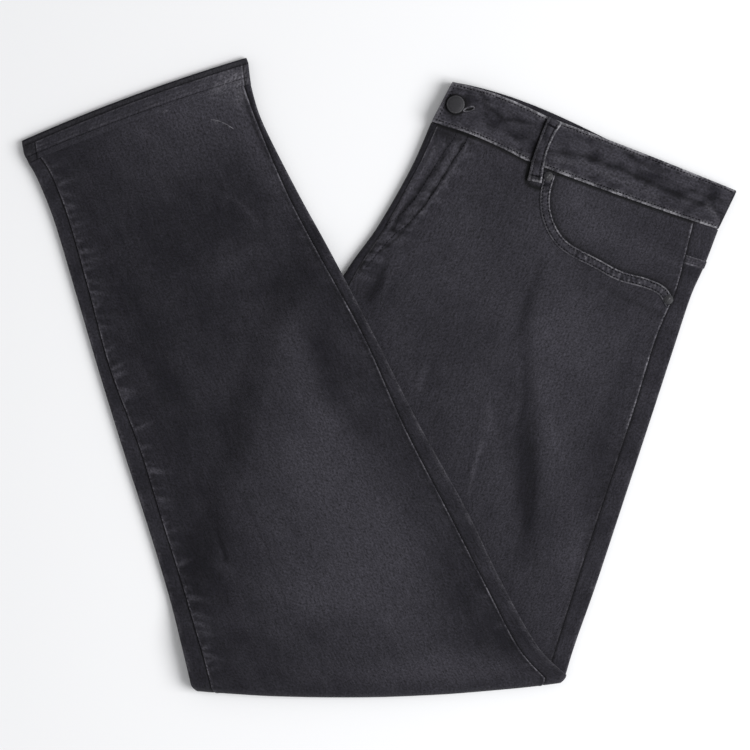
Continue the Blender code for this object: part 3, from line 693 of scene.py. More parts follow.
def placed(points: Array) -> Array:
    """Points of the lay in metres, from the scene's middle."""
    return (np.asarray(points, float) - (*CENTRE, 0.0)) * MM


def linked(name: str, data: ID) -> Object:
    """A new object in the scene, for a mesh, a lamp or a camera."""
    item = bpy.data.objects.new(name, data)
    bpy.context.scene.collection.objects.link(item)
    return item


def plain_object(name: str, points: Array, faces: list, edges: Sequence = ()) -> Object:
    """A new object from points in metres, and its faces or edges."""
    mesh = bpy.data.meshes.new(name)
    mesh.from_pydata(np.asarray(points).tolist(), edges, faces)
    return linked(name, mesh)


def seen_mesh(item: Object) -> Mesh:
    """A plain mesh of a piece as its modifiers leave it."""
    return bpy.data.meshes.new_from_object(item.evaluated_get(bpy.context.evaluated_depsgraph_get()))


def mesh_object(name: str, points: Array, faces: Array, material: Material) -> Object:
    """A named object in metres, faces outwards and shaded smooth.

    Args:
        name: The piece's name.
        points: The points in millimetres.
        faces: Quads of a closed mesh.
        material: Its finish.

    Returns:
        The object, at the origin.
    """
    if signed_volume(points, faces) < 0:
        faces = faces[:, ::-1]
    mesh = bpy.data.meshes.new(name)
    mesh.vertices.add(len(points))
    mesh.vertices.foreach_set("co", placed(points).astype(np.float32).ravel())
    mesh.loops.add(faces.size)
    mesh.loops.foreach_set("vertex_index", faces.astype(np.int32).ravel())
    mesh.polygons.add(len(faces))
    mesh.polygons.foreach_set("loop_start", np.arange(0, faces.size, 4, dtype=np.int32))
    mesh.update(calc_edges=True)
    mesh.validate()
    mesh.shade_smooth()
    mesh.set_sharp_from_angle(angle=math.radians(55))
    mesh.materials.append(material)
    return linked(name, mesh)


def dress(item: Object, looks: Looks, copies: int = 2) -> None:
    """Writes a piece's looks into its mesh: its cut as a UV map and the rest as attributes.

    Args:
        item: The piece.
        looks: One value for each point of its outer face.
        copies: How many faces of that many points the piece has.
    """
    mesh = item.data
    cut = np.tile(looks.cut.reshape(-1, 2) * MM, (copies, 1))
    corner = np.empty(len(mesh.loops), dtype=np.int32)
    mesh.loops.foreach_get("vertex_index", corner)
    layer = mesh.uv_layers.new(name="cut")
    layer.data.foreach_set("uv", cut[corner].astype(np.float32).ravel())
    for name, values in (("fade", looks.fade), ("wear", looks.wear), ("grime", looks.grime)):
        attribute = mesh.attributes.new(name, "FLOAT", "POINT")
        inner = np.zeros(values.size) if name == "wear" else values.ravel()
        every = np.concatenate([values.ravel()] + [inner] * (copies - 1))
        attribute.data.foreach_set("value", every.astype(np.float32))


def wall(name: str, grids: Grids, material: Material) -> Object:
    """A closed wall of cloth between two grids of points of one shape, with its looks."""
    outer, inner, looks = grids
    rows, columns = outer.shape[:2]
    count = rows * columns
    top = grid_faces(rows, columns)
    place = np.arange(count).reshape(rows, columns)
    here = np.concatenate((place[0], place[1:, -1], place[-1, -2::-1], place[-2:0:-1, 0]))
    there = np.roll(here, -1)
    sides = np.column_stack((there, here, here + count, there + count))
    points = np.concatenate((outer.reshape(-1, 3), inner.reshape(-1, 3)))
    item = mesh_object(name, points, np.concatenate((top, top[:, ::-1] + count, sides)), material)
    dress(item, looks)
    return item


def tube(
    name: str, grids: Grids, material: Material, lining: Material
) -> Object:
    """A closed wall between two lists of rings, open at both ends, with its looks.

    Args:
        name: The piece's name.
        grids: The outer rings' points, the inner rings' points and the looks.
        material: The outer face's finish.
        lining: The inner face's finish.

    Returns:
        The piece.
    """
    outer, inner, looks = grids
    rings, around = outer.shape[:2]
    count = rings * around
    skin = ring_faces(rings, around)
    here = np.arange(around)
    there = np.roll(here, -1)
    rim = np.column_stack((here, there, there + count, here + count))
    far_rim = (rim + count - around)[:, ::-1]
    points = np.concatenate((outer.reshape(-1, 3), inner.reshape(-1, 3)))
    item = mesh_object(name, points, np.concatenate((skin, skin[:, ::-1] + count, rim, far_rim)), material)
    dress(item, looks)
    item.data.materials.append(lining)
    for face in item.data.polygons:
        if min(face.vertices) >= count:
            face.material_index = 1
    return item


class Surface:
    """The top of pieces that lie already, to set smaller ones down on them."""

    def __init__(self, *items: Object) -> None:
        """Reads the pieces' meshes."""
        self.trees = []
        for item in items:
            points = [vertex.co for vertex in item.data.vertices]
            self.trees.append(BVHTree.FromPolygons(points, [face.vertices for face in item.data.polygons]))

    def height(self, points: Array) -> Array:
        """The height of the top at points, and 0 where nothing lies.

        Args:
            points: An X and a Y for each, in the lay's millimetres.

        Returns:
            A height for each point, in millimetres.
        """
        found = []
        for x, y in points:
            start = Vector(placed((x, y, ABOVE_ALL)))
            hits = [tree.ray_cast(start, Vector((0.0, 0.0, -1.0)))[0] for tree in self.trees]
            found.append(max([hit.z / MM for hit in hits if hit is not None], default=0.0))
        return np.array(found)

    def laid(self, line: Array, above: float) -> Array:
        """The points of a flat line laid on the top, or a little above it."""
        return np.column_stack((line, self.height(line) + above))

    def round_heights(self, middle: Pair, radius: float, count: int) -> Array:
        """The heights of the top at points on a circle."""
        angle = 2 * math.pi * np.arange(count) / count
        return self.height(np.array(middle) + radius * np.column_stack((np.cos(angle), np.sin(angle))))


def polyline(points: Sequence[Sequence[float]], spacing: float) -> Array:
    """Evenly spaced points on a smooth curve through a few.

    Args:
        points: The few points, an X and a Y each.
        spacing: The distance between two of the new ones.

    Returns:
        The new points.
    """
    table = np.array(points, float)
    last = len(table) - 1
    fine = np.array([curve_at(table, at) for at in np.linspace(0.0, last, last * 24 + 1)])
    travel = travel_of(fine)
    even = np.linspace(0.0, travel[-1], max(int(travel[-1] / spacing), 1) + 1)
    return np.column_stack([np.interp(even, travel, fine[:, k]) for k in (0, 1)])


def sideways(line: Array) -> Array:
    """Unit vectors to the right of a line of points."""
    tangent = np.gradient(line, axis=0)
    tangent /= np.hypot(*tangent.T)[:, None]
    return np.column_stack((tangent[:, 1], -tangent[:, 0]))


def evened(values: Array, reach: int) -> Array:
    """Each of a line of values as the mean of itself and its neighbours on both sides."""
    return np.convolve(np.pad(values, reach, "edge"), np.ones(2 * reach + 1) / (2 * reach + 1), "valid")


# Finishes


class NodeDesk:
    """Adds and links the nodes of one shader tree or node group."""

    def __init__(self, tree: NodeTree) -> None:
        """Takes the tree that the nodes go into."""
        self.tree = tree

    def add(self, kind: str, feeds: Optional[dict] = None, **settings: object) -> Node:
        """A new node with its settings, and with what its inputs are fed."""
        node = self.tree.nodes.new(kind)
        for name, value in settings.items():
            setattr(node, name, value)
        for key, value in (feeds or {}).items():
            self.feed(node.inputs[key], value)
        return node

    def feed(self, socket: NodeSocket, value: object) -> None:
        """Links an output, or a node's first one, to a socket, or sets the socket's own value."""
        if isinstance(value, Node):
            value = value.outputs[0]
        if isinstance(value, NodeSocket):
            self.tree.links.new(value, socket)
        else:
            socket.default_value = value

    def math(self, operation: str, *values: object, clamp: bool = False) -> Node:
        """A Math node on one or two values."""
        return self.add("ShaderNodeMath", dict(enumerate(values)), operation=operation, use_clamp=clamp)

    def noise(self, vector: object, scale: float, detail: float = 2.0, rough: float = 0.5) -> Node:
        """A Noise Texture."""
        feeds = {"Vector": vector, "Scale": scale, "Detail": detail, "Roughness": rough}
        return self.add("ShaderNodeTexNoise", feeds)

    def stretched(
        self,
        vector: object,
        scale: Sequence[float],
        detail: float = 2.0,
        rough: float = 0.5,
        turn: float = 0.0,
    ) -> Node:
        """A Noise Texture whose vector is stretched and turned by a Mapping node."""
        feeds = {"Vector": vector, "Scale": (*scale, 1.0)[:3], "Rotation": (0.0, 0.0, turn)}
        return self.noise(self.add("ShaderNodeMapping", feeds), 1.0, detail, rough)

    def spread(
        self, value: object, low: float, high: float, start: float = 0.0, end: float = 1.0
    ) -> Node:
        """A value from one range mapped onto another, and held at its ends."""
        feeds = {"Value": value, "From Min": low, "From Max": high, "To Min": start, "To Max": end}
        return self.add("ShaderNodeMapRange", feeds, clamp=True)

    def mix(self, share: object, first: object, second: object, kind: str = "MIX") -> NodeSocket:
        """Two colours mixed."""
        feeds = {0: share, 6: first, 7: second}
        return self.add("ShaderNodeMix", feeds, data_type="RGBA", blend_type=kind).outputs[2]

    def group(self, tree: NodeTree, **values: object) -> Node:
        """A node group placed here, its inputs fed by name."""
        return self.add("ShaderNodeGroup", values, node_tree=tree)


def new_group(
    name: str, inputs: dict[str, str], outputs: dict[str, str], kind: str = "ShaderNodeTree"
) -> tuple[NodeDesk, Node, Node]:
    """A node group with named sockets.

    Args:
        name: The group's name.
        inputs: Socket kinds by name.
        outputs: Socket kinds by name.
        kind: The kind of node tree.

    Returns:
        A desk for the group's nodes, its input node and its output node.
    """
    tree = bpy.data.node_groups.new(name, kind)
    for in_out, sockets in (("INPUT", inputs), ("OUTPUT", outputs)):
        for socket, carried in sockets.items():
            tree.interface.new_socket(socket, in_out=in_out, socket_type="NodeSocket" + carried)
    desk = NodeDesk(tree)
    return desk, desk.add("NodeGroupInput"), desk.add("NodeGroupOutput")


class MaterialDesk(NodeDesk):
    """Adds and links the nodes of one material."""

    def __init__(self, name: str) -> None:
        """Makes the material."""
        self.material = bpy.data.materials.new(name)
        self.material.use_nodes = True
        super().__init__(self.material.node_tree)

    def relief(self, height: object, strength: float, distance: float) -> Node:
        """A Bump node."""
        return self.add("ShaderNodeBump", {"Strength": strength, "Distance": distance, "Height": height})

    def shade(self, values: dict[str, object]) -> Material:
        """Feeds the shader's sockets by name, and gives the finished material."""
        for name, value in values.items():
            self.feed(self.tree.nodes["Principled BSDF"].inputs[name], value)
        return self.material


def weave_group() -> NodeTree:
    """Twill: its fine diagonal ribs, and the thick and thin yarns that streak it both ways."""
    inputs = {"Cut": "Vector", "Rib": "Float", "Slub": "Float"}
    desk, given, made = new_group("weave", inputs, dict.fromkeys(("Height", "Yarn", "Grain"), "Float"))
    cut = given.outputs["Cut"]
    across, along, _ = desk.add("ShaderNodeSeparateXYZ", {0: cut}).outputs
    wander = desk.stretched(cut, (120.0, 30.0), 1.0)
    slant = desk.math("ADD", across, desk.math("MULTIPLY", along, 0.55))
    turns = desk.math("ADD", desk.math("DIVIDE", slant, given.outputs["Rib"]), wander)
    ribs = desk.math("SINE", desk.math("MULTIPLY", turns, 2.0 * math.pi))
    warp = desk.stretched(cut, (1100.0, 34.0), 2.0, 0.6)
    weft = desk.stretched(cut, (60.0, 1000.0), 2.0, 0.6)
    nap = desk.stretched(cut, (2600.0, 2600.0), 1.0)
    mottle = desk.stretched(cut, (560.0, 480.0), 4.0, 0.75, 0.35)
    streak = desk.stretched(cut, (620.0, 80.0), 2.0, 0.6)
    yarn = desk.math("ADD", desk.math("MULTIPLY", warp, 0.6), desk.math("MULTIPLY", weft, 0.4))
    yarn = desk.math("ADD", desk.math("MULTIPLY", yarn, 0.8), desk.math("MULTIPLY", nap, 0.2))
    thick = desk.math("MULTIPLY", yarn, given.outputs["Slub"])
    grain = desk.math("ADD", desk.math("MULTIPLY", mottle, 0.78), desk.math("MULTIPLY", streak, 0.22))
    thick = desk.math("ADD", thick, desk.math("MULTIPLY", grain, 1.1))
    height = desk.math("ADD", desk.math("MULTIPLY", ribs, 0.3), thick)
    for name, value in (("Height", height), ("Yarn", yarn), ("Grain", grain)):
        desk.feed(made.inputs[name], value)
    return desk.tree


def wash_group() -> NodeTree:
    """The uneven fade of a garment wash: broad clouds, small blotches and streaks along the grain."""
    amounts = ("Cloud", "Blotch", "Streak")
    inputs = {"Place": "Vector", "Cut": "Vector"} | dict.fromkeys(amounts, "Float")
    desk, given, made = new_group("wash", inputs, {"Fade": "Float"})
    cloud = desk.noise(given.outputs["Place"], 9.0, 3.0, 0.55)
    blotch = desk.noise(given.outputs["Place"], 85.0, 4.0, 0.65)
    streak = desk.stretched(given.outputs["Cut"], (95.0, 7.0), 3.0, 0.6)
    total = 0.0
    for value, name in zip((cloud, blotch, streak), amounts):
        level = desk.math("SUBTRACT", value, 0.5)
        total = desk.math("ADD", total, desk.math("MULTIPLY", level, given.outputs[name]))
    desk.feed(made.inputs["Fade"], total)
    return desk.tree


def wear_group() -> NodeTree:
    """Where edges and ridges are rubbed: a mask broken up by the threads under it."""
    desk, given, made = new_group("wear", {"Cut": "Vector", "Amount": "Float"}, {"Mask": "Float"})
    fleck = desk.stretched(given.outputs["Cut"], (420.0, 420.0), 3.0, 0.7)
    patchy = desk.stretched(given.outputs["Cut"], (60.0, 60.0))
    flecks = desk.spread(fleck, 0.3, 0.7, 0.0, 1.1)
    broken = desk.math("ADD", flecks, desk.spread(patchy, 0.35, 0.65, -0.45, 0.25))
    desk.feed(made.inputs["Mask"], desk.math("MULTIPLY", given.outputs["Amount"], broken, clamp=True))
    return desk.tree


def lint_group() -> NodeTree:
    """Specks of lint and of lighter fibre, far apart and uneven."""
    desk, given, made = new_group("lint", {"Place": "Vector", "Spacing": "Float"}, {"Mask": "Float"})
    cells = desk.add("ShaderNodeTexVoronoi", {"Vector": given.outputs["Place"]}, feature="F1")
    desk.feed(cells.inputs["Scale"], desk.math("DIVIDE", 1.0, given.outputs["Spacing"]))
    lot = desk.add("ShaderNodeSeparateColor", {0: cells.outputs["Color"]})
    size = desk.spread(lot, 0.5, 1.0, 0.0, 0.09)
    near = desk.math("SUBTRACT", size, cells.outputs["Distance"])
    desk.feed(made.inputs["Mask"], desk.math("MULTIPLY", near, 30.0, clamp=True))
    return desk.tree


@dataclass(frozen=True)
class SharedEffects:
    """The node groups that more than one finish uses."""

    weave: NodeTree
    wash: NodeTree
    wear: NodeTree
    lint: NodeTree

    @classmethod
    def build(cls) -> SharedEffects:
        """Makes each group once."""
        return cls(weave_group(), wash_group(), wear_group(), lint_group())


@dataclass(frozen=True)
class DenimFinish:
    """Washed charcoal denim."""

    name: str = "charcoal_denim"
    dark: Triple = (0.0068, 0.0063, 0.0100)
    faded: Triple = (0.0330, 0.0314, 0.0400)
    rubbed: Triple = (0.145, 0.140, 0.160)
    lint: Triple = (0.050, 0.049, 0.054)
    # The near-black colour that painted shade darkens the cloth towards.
    groove: Triple = (0.0015, 0.0015, 0.002)
    rib: float = 0.0011
    cloud: float = 0.30
    blotch: float = 0.50
    streak: float = 0.34
    yarn: float = 0.55
    grain: float = 5.2
    base_fade: float = 0.18
    sheen: float = 0.04

    def material(self, shared: SharedEffects) -> Material:
        """The finish as a material.

        Args:
            shared: The node groups it uses.

        Returns:
            The material, which reads the piece's cut, fade, wear and painted shade.
        """
        desk = MaterialDesk(self.name)
        place = desk.add("ShaderNodeTexCoord").outputs["Object"]
        cut = desk.add("ShaderNodeUVMap", uv_map="cut")
        fade, wear, grime = (
            desk.add("ShaderNodeAttribute", attribute_name=name).outputs["Fac"]
            for name in ("fade", "wear", "grime")
        )
        weave = desk.group(shared.weave, Cut=cut, Rib=self.rib, Slub=0.9)
        amounts = {"Cloud": self.cloud, "Blotch": self.blotch, "Streak": self.streak}
        wash = desk.group(shared.wash, Place=place, Cut=cut, **amounts)
        rubbed = desk.group(shared.wear, Cut=cut, Amount=wear)
        level = desk.math("ADD", fade, wash)
        yarn = desk.math("MULTIPLY", desk.math("SUBTRACT", weave.outputs["Yarn"], 0.5), self.yarn)
        level = desk.math("ADD", desk.math("ADD", level, yarn), self.base_fade, clamp=True)
        colour = desk.mix(level, (*self.dark, 1.0), (*self.faded, 1.0))
        colour = desk.mix(rubbed, colour, (*self.rubbed, 1.0))
        specks = desk.group(shared.lint, Place=place, Spacing=0.009)
        colour = desk.mix(desk.math("MULTIPLY", specks, 0.6), colour, (*self.lint, 1.0))
        # Painted shade: the colour is darkened towards near black where the piece's mesh marks shade.
        colour = desk.mix(desk.math("MULTIPLY", grime, 0.9, clamp=True), colour, (*self.groove, 1.0))
        shade = desk.math("MULTIPLY", desk.math("SUBTRACT", weave.outputs["Grain"], 0.5), self.grain)
        shade = desk.math("MAXIMUM", desk.math("ADD", shade, 1.0), 0.25)
        values = {
            "Base Color": desk.mix(1.0, colour, shade, "MULTIPLY"),
            "Roughness": desk.spread(weave.outputs["Yarn"], 0.3, 0.7, 0.95, 0.82),
            "Sheen Weight": self.sheen,
            "Sheen Roughness": 0.4,
            "Specular IOR Level": 0.25,
            "Normal": desk.relief(weave.outputs["Height"], 0.7, 0.0005),
        }
        return desk.shade(values)


@dataclass(frozen=True)
class ThreadFinish:
    """Sewing thread close to the cloth's colour."""

    name: str = "charcoal_thread"
    dark: Triple = (0.0015, 0.0015, 0.002)
    light: Triple = (0.010, 0.0098, 0.012)
    shine: float = 0.04

    def material(self) -> Material:
        """The finish as a material, with a little variation from stitch to stitch."""
        desk = MaterialDesk(self.name)
        place = desk.add("ShaderNodeTexCoord").outputs["Object"]
        lot = desk.noise(place, 160.0, 2.0)
        ply = desk.stretched(place, (5200.0, 5200.0, 5200.0), 1.0)
        values = {
            "Base Color": desk.mix(desk.spread(lot, 0.35, 0.65), (*self.dark, 1.0), (*self.light, 1.0)),
            "Roughness": desk.spread(ply, 0.3, 0.7, 0.55, 0.8),
            "Specular IOR Level": self.shine,
            "Normal": desk.relief(ply, 0.4, 0.0001),
        }
        return desk.shade(values)


@dataclass(frozen=True)
class MetalFinish:
    """Black plated metal, rubbed where it stands out."""

    name: str = "black_nickel"
    plated: Triple = (0.021, 0.0205, 0.024)
    bare: Triple = (0.12, 0.12, 0.125)

    def material(self) -> Material:
        """The finish as a material."""
        desk = MaterialDesk(self.name)
        place = desk.add("ShaderNodeTexCoord").outputs["Object"]
        brushed = desk.stretched(place, (900.0, 5200.0, 900.0), 3.0)
        spots = desk.noise(place, 700.0, 4.0, 0.65)
        edge = desk.add("ShaderNodeNewGeometry").outputs["Pointiness"]
        spotted = desk.spread(edge, 0.5, 0.6), desk.spread(spots, 0.35, 0.6)
        rubbed = desk.math("MULTIPLY", *spotted, clamp=True)
        values = {
            "Base Color": desk.mix(rubbed, (*self.plated, 1.0), (*self.bare, 1.0)),
            "Metallic": 0.5,
            "Roughness": desk.spread(brushed, 0.3, 0.7, 0.50, 0.68),
            "Normal": desk.relief(spots, 0.3, 0.00005),
        }
        return desk.shade(values)


@dataclass(frozen=True)
class Wardrobe:
    """Every finish of the garment, made once."""

    denim: Material
    trim: Material
    inside: Material
    thread: Material
    pale_thread: Material
    metal: Material

    @classmethod
    def build(cls) -> Wardrobe:
        """Makes the finishes."""
        shared = SharedEffects.build()
        inside = DenimFinish(
            name="denim_inside",
            dark=(0.0055, 0.0053, 0.0075),
            faded=(0.0270, 0.0262, 0.0320),
            cloud=0.15,
            blotch=0.30,
            streak=0.15,
            base_fade=0.45,
        )
        trim = DenimFinish(
            name="charcoal_denim_trim",
            rubbed=(0.23, 0.225, 0.245),
            cloud=0.5,
            blotch=2.2,
            streak=0.5,
            base_fade=0.40,
        )
        denims = [finish.material(shared) for finish in (DenimFinish(), trim, inside)]
        pale = ThreadFinish("grey_thread", (0.060, 0.058, 0.066), (0.200, 0.195, 0.215))
        return cls(*denims, ThreadFinish().material(), pale.material(), MetalFinish().material())


# Stitches


@dataclass(frozen=True)
class Sewing:
    """Lays a stitch again and again along paths on the cloth, by Geometry Nodes."""

    thread: Material
    pitch: float = 3.1
    length: float = 2.7
    width: float = 0.62
    height: float = 0.5
    uneven: float = 0.18
    seed: int = 11

    def tree(self) -> NodeTree:
        """The node tree that turns each path into a row of stitches."""
        inputs = {"Paths": "Geometry", **dict.fromkeys(self.usual(), "Float"), "Thread": "Material"}
        desk, given, made = new_group("stitch_row", inputs, {"Stitches": "Geometry"}, "GeometryNodeTree")
        asked = given.outputs
        line = desk.add("GeometryNodeMeshToCurve", {0: asked["Paths"]})
        along = {"Curve": line, "Length": asked["Pitch"]}
        spaced = desk.add("GeometryNodeResampleCurve", along, mode="LENGTH")
        stitch = desk.add("GeometryNodeMeshUVSphere", {"Segments": 6, "Rings": 5, "Radius": 0.5})
        axes = {"Primary Axis": (0.0, 0.0, 1.0), "Secondary Axis": desk.add("GeometryNodeInputTangent")}
        aim = desk.add("FunctionNodeAxesToRotation", axes, primary_axis="Z", secondary_axis="X")
        sizes = {0: asked["Length"], 1: asked["Width"], 2: asked["Height"]}
        size = desk.add("ShaderNodeCombineXYZ", sizes)
        limits = {2: 1.0 - self.uneven, 3: 1.0 + self.uneven, "Seed": self.seed}
        lot = desk.add("FunctionNodeRandomValue", limits, data_type="FLOAT")
        varied = desk.add("ShaderNodeVectorMath", {0: size, "Scale": lot.outputs[1]}, operation="SCALE")
        laying = {"Points": spaced, "Instance": stitch, "Rotation": aim, "Scale": varied}
        real = desk.add("GeometryNodeRealizeInstances", {0: desk.add("GeometryNodeInstanceOnPoints", laying)})
        smooth = desk.add("GeometryNodeSetShadeSmooth", {0: real})
        coloured = desk.add("GeometryNodeSetMaterial", {"Geometry": smooth, "Material": asked["Thread"]})
        desk.feed(made.inputs[0], coloured)
        return desk.tree

    def usual(self) -> dict[str, float]:
        """The usual sizes, by the names of the tree's inputs."""
        return {"Pitch": self.pitch, "Length": self.length, "Width": self.width, "Height": self.height}

    def sew(self, name: str, rows: Sequence[Array], **sizes: float) -> Object:
        """Rows of stitches as one mesh.

        Args:
            name: The piece's name.
            rows: Each row's points, an X, Y and Z in the lay's millimetres.
            sizes: Pitch, Length, Width or Height where a row's differs from the usual.

        Returns:
            The stitches, at the origin.
        """
        starts = np.cumsum([0] + [len(row) for row in rows])
        edges = [(k, k + 1) for a, b in zip(starts, starts[1:]) for k in range(a, b - 1)]
        guide = plain_object(name + "_paths", placed(np.concatenate(rows)), [], edges)
        tree = bpy.data.node_groups.get("stitch_row") or self.tree()
        modifier = guide.modifiers.new("stitches", "NODES")
        modifier.node_group = tree
        wanted = {key: value * MM for key, value in {**self.usual(), **sizes}.items()}
        wanted["Thread"] = self.thread
        for socket in tree.interface.items_tree:
            if socket.in_out == "INPUT" and socket.name in wanted:
                modifier[socket.identifier] = wanted[socket.name]
        mesh = seen_mesh(guide)
        mesh.name = name
        for slot in reversed([k for k, given in enumerate(mesh.materials) if given is None]):
            mesh.materials.pop(index=slot)
        bpy.data.objects.remove(guide, do_unlink=True)
        return linked(name, mesh)


def settle(item: Object, slot: str, *nodes: str) -> Object:
    """Rides a piece on the garment and has it stand for CAD nodes.

    Args:
        item: The piece.
        slot: Not used.
        nodes: The CAD nodes that it replaces.

    Returns:
        The piece.
    """
    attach(item, "root")
    if nodes:
        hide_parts(*nodes)
    half = sum(face.area for face in item.data.polygons) / 2
    log.info("%s: %d faces, %.4f square metres a side", item.name, len(item.data.polygons), half)
    return item


def lay(
    item: Object,
    node: str,
) -> Object:
    """Settles a sheet of cloth in its node's place.

    Args:
        item: The sheet.
        node: The CAD node that it replaces.

    Returns:
        The sheet.
    """
    settle(item, node, node)
    return item


def roll_of(away: Array) -> Array:
    """The height of the turned cloth at a distance from a panel's seam edge."""
    return SEAM_RISE * (0.7 + 0.3 * smoothstep(away / 1.3)) * (1.0 - smoothstep((away - 1.2) / 2.2))


def panel_offsets(width: float, middle: int) -> Array:
    """Distances from 0 to a panel's width, close together beside its seams and even in the middle."""
    fine = np.array(EDGE_OFFSETS)
    inner = np.linspace(fine[-1], width - fine[-1], middle + 1)[1:-1]
    return np.concatenate((fine, inner, width - fine[::-1]))


# The legs


@dataclass
class RightFront:
    """The panel that lies on the surface, turns round the fold and covers the folded garment."""

    finishes: Wardrobe
    thigh_step: float = 9.0
    leg_step: float = 2.05
    columns: int = 126
    flat_size: Pair = (0.345, 0.97)
    flat_area: float = 0.268
    end_gap: float = 0.5
    inseam: Puckers = field(default_factory=Puckers)
    outseam: Puckers = field(default_factory=lambda: Puckers(pitch=12.0, reach=7.0, height=0.45, seed=8))

    def left_inset(self, station: Station) -> float:
        """How far in from the left edge the panel starts."""
        section = station.section
        if station.run is not Run.THIGH:
            return section.left_seam
        hip = smoothstep((section.left_y - THIGH[CROTCH_ROW].left_y) / 40.0)
        return section.left_seam * (1.0 - hip) + section.stack / 2 * hip

    def relief(self, flat: Array, travel: float, away: Array, width: float) -> tuple[Array, Array]:
        """The heights of creases and sway, and of the seams' puckers, where the panel is on top."""
        held = smoothstep(np.minimum(away, width - away) / 12.0)
        along = np.full(len(away), travel)
        drawn = self.inseam.height_at(along, away) + self.outseam.height_at(along, width - away)
        return (relief_of(LEG_CREASES, flat) + sway(flat)) * (0.35 + 0.65 * held), drawn

    def build(self) -> Object:
        """The panel, as one closed wall of cloth."""
        rows, stations = Rows(), whole_run(self.thigh_step, self.leg_step)
        for station in stations:
            section = station.section
            start = self.left_inset(station) + GAP
            width = section.width - section.right_seam - GAP - start
            away = panel_offsets(width, self.columns)
            across = start + away
            level = station.place(across, 0.0)
            travel = rows.travel_to(level[0])
            on_top = 0.0 if station.run is Run.THIGH else math.sin(station.turn / 2) ** 2
            inside = np.minimum(away, width - away)
            loose, puckers = np.zeros(len(away)), np.zeros(len(away))
            if station.run is not Run.THIGH:
                loose, puckers = self.relief(level[:, :2], travel, away, width)
            seen = max(0.0, on_top * 1.6 - 0.6)
            marks = marks_of(LEG_STROKES, level[:, :2]) * (1.0 if station.run is Run.LEG else 0.0)
            rise = roll_of(inside) * on_top + (loose + puckers) * seen + marks[0]
            faces = station.place(across, -rise), station.place(across, WALL)
            if station is stations[-1]:
                for row in faces:
                    row[:, :2] -= self.end_gap * section.down
            shown = 1.0 if station.run is Run.LEG else on_top
            # Lighter round the fold's turn.
            rim = 0.30 * math.sin(station.turn) ** 2 if station.run is Run.TURN else 0.0
            fade = (0.26 * np.clip(loose, -1.0, 1.5) + 1.25 * puckers) * seen + marks[1] + rim
            ragged = 0.55 + 0.45 * math.sin(travel / 7.0) * math.sin(travel / 23.0 + 1.0)
            rubbed = 1.2 * ragged * bump(inside - 0.6, 0.6) + 0.35 * np.clip(puckers - 0.3, 0.0, 1.0) * seen
            # Painted shade in the groove beside each seam, less where the puckers rise.
            groove = 0.34 * bump(inside - 3.4, 1.4) * (1.0 - 0.8 * np.clip(puckers, 0.0, 1.0))
            fade = fade_of(LEG_PATCHES, level[:, :2]) * shown + fade
            rows.add(*faces, fade, rubbed + marks[2], groove + marks[3])
        item = wall("right_front_denim", rows.grids(), self.finishes.denim)
        return lay(item, "right_front_panel")


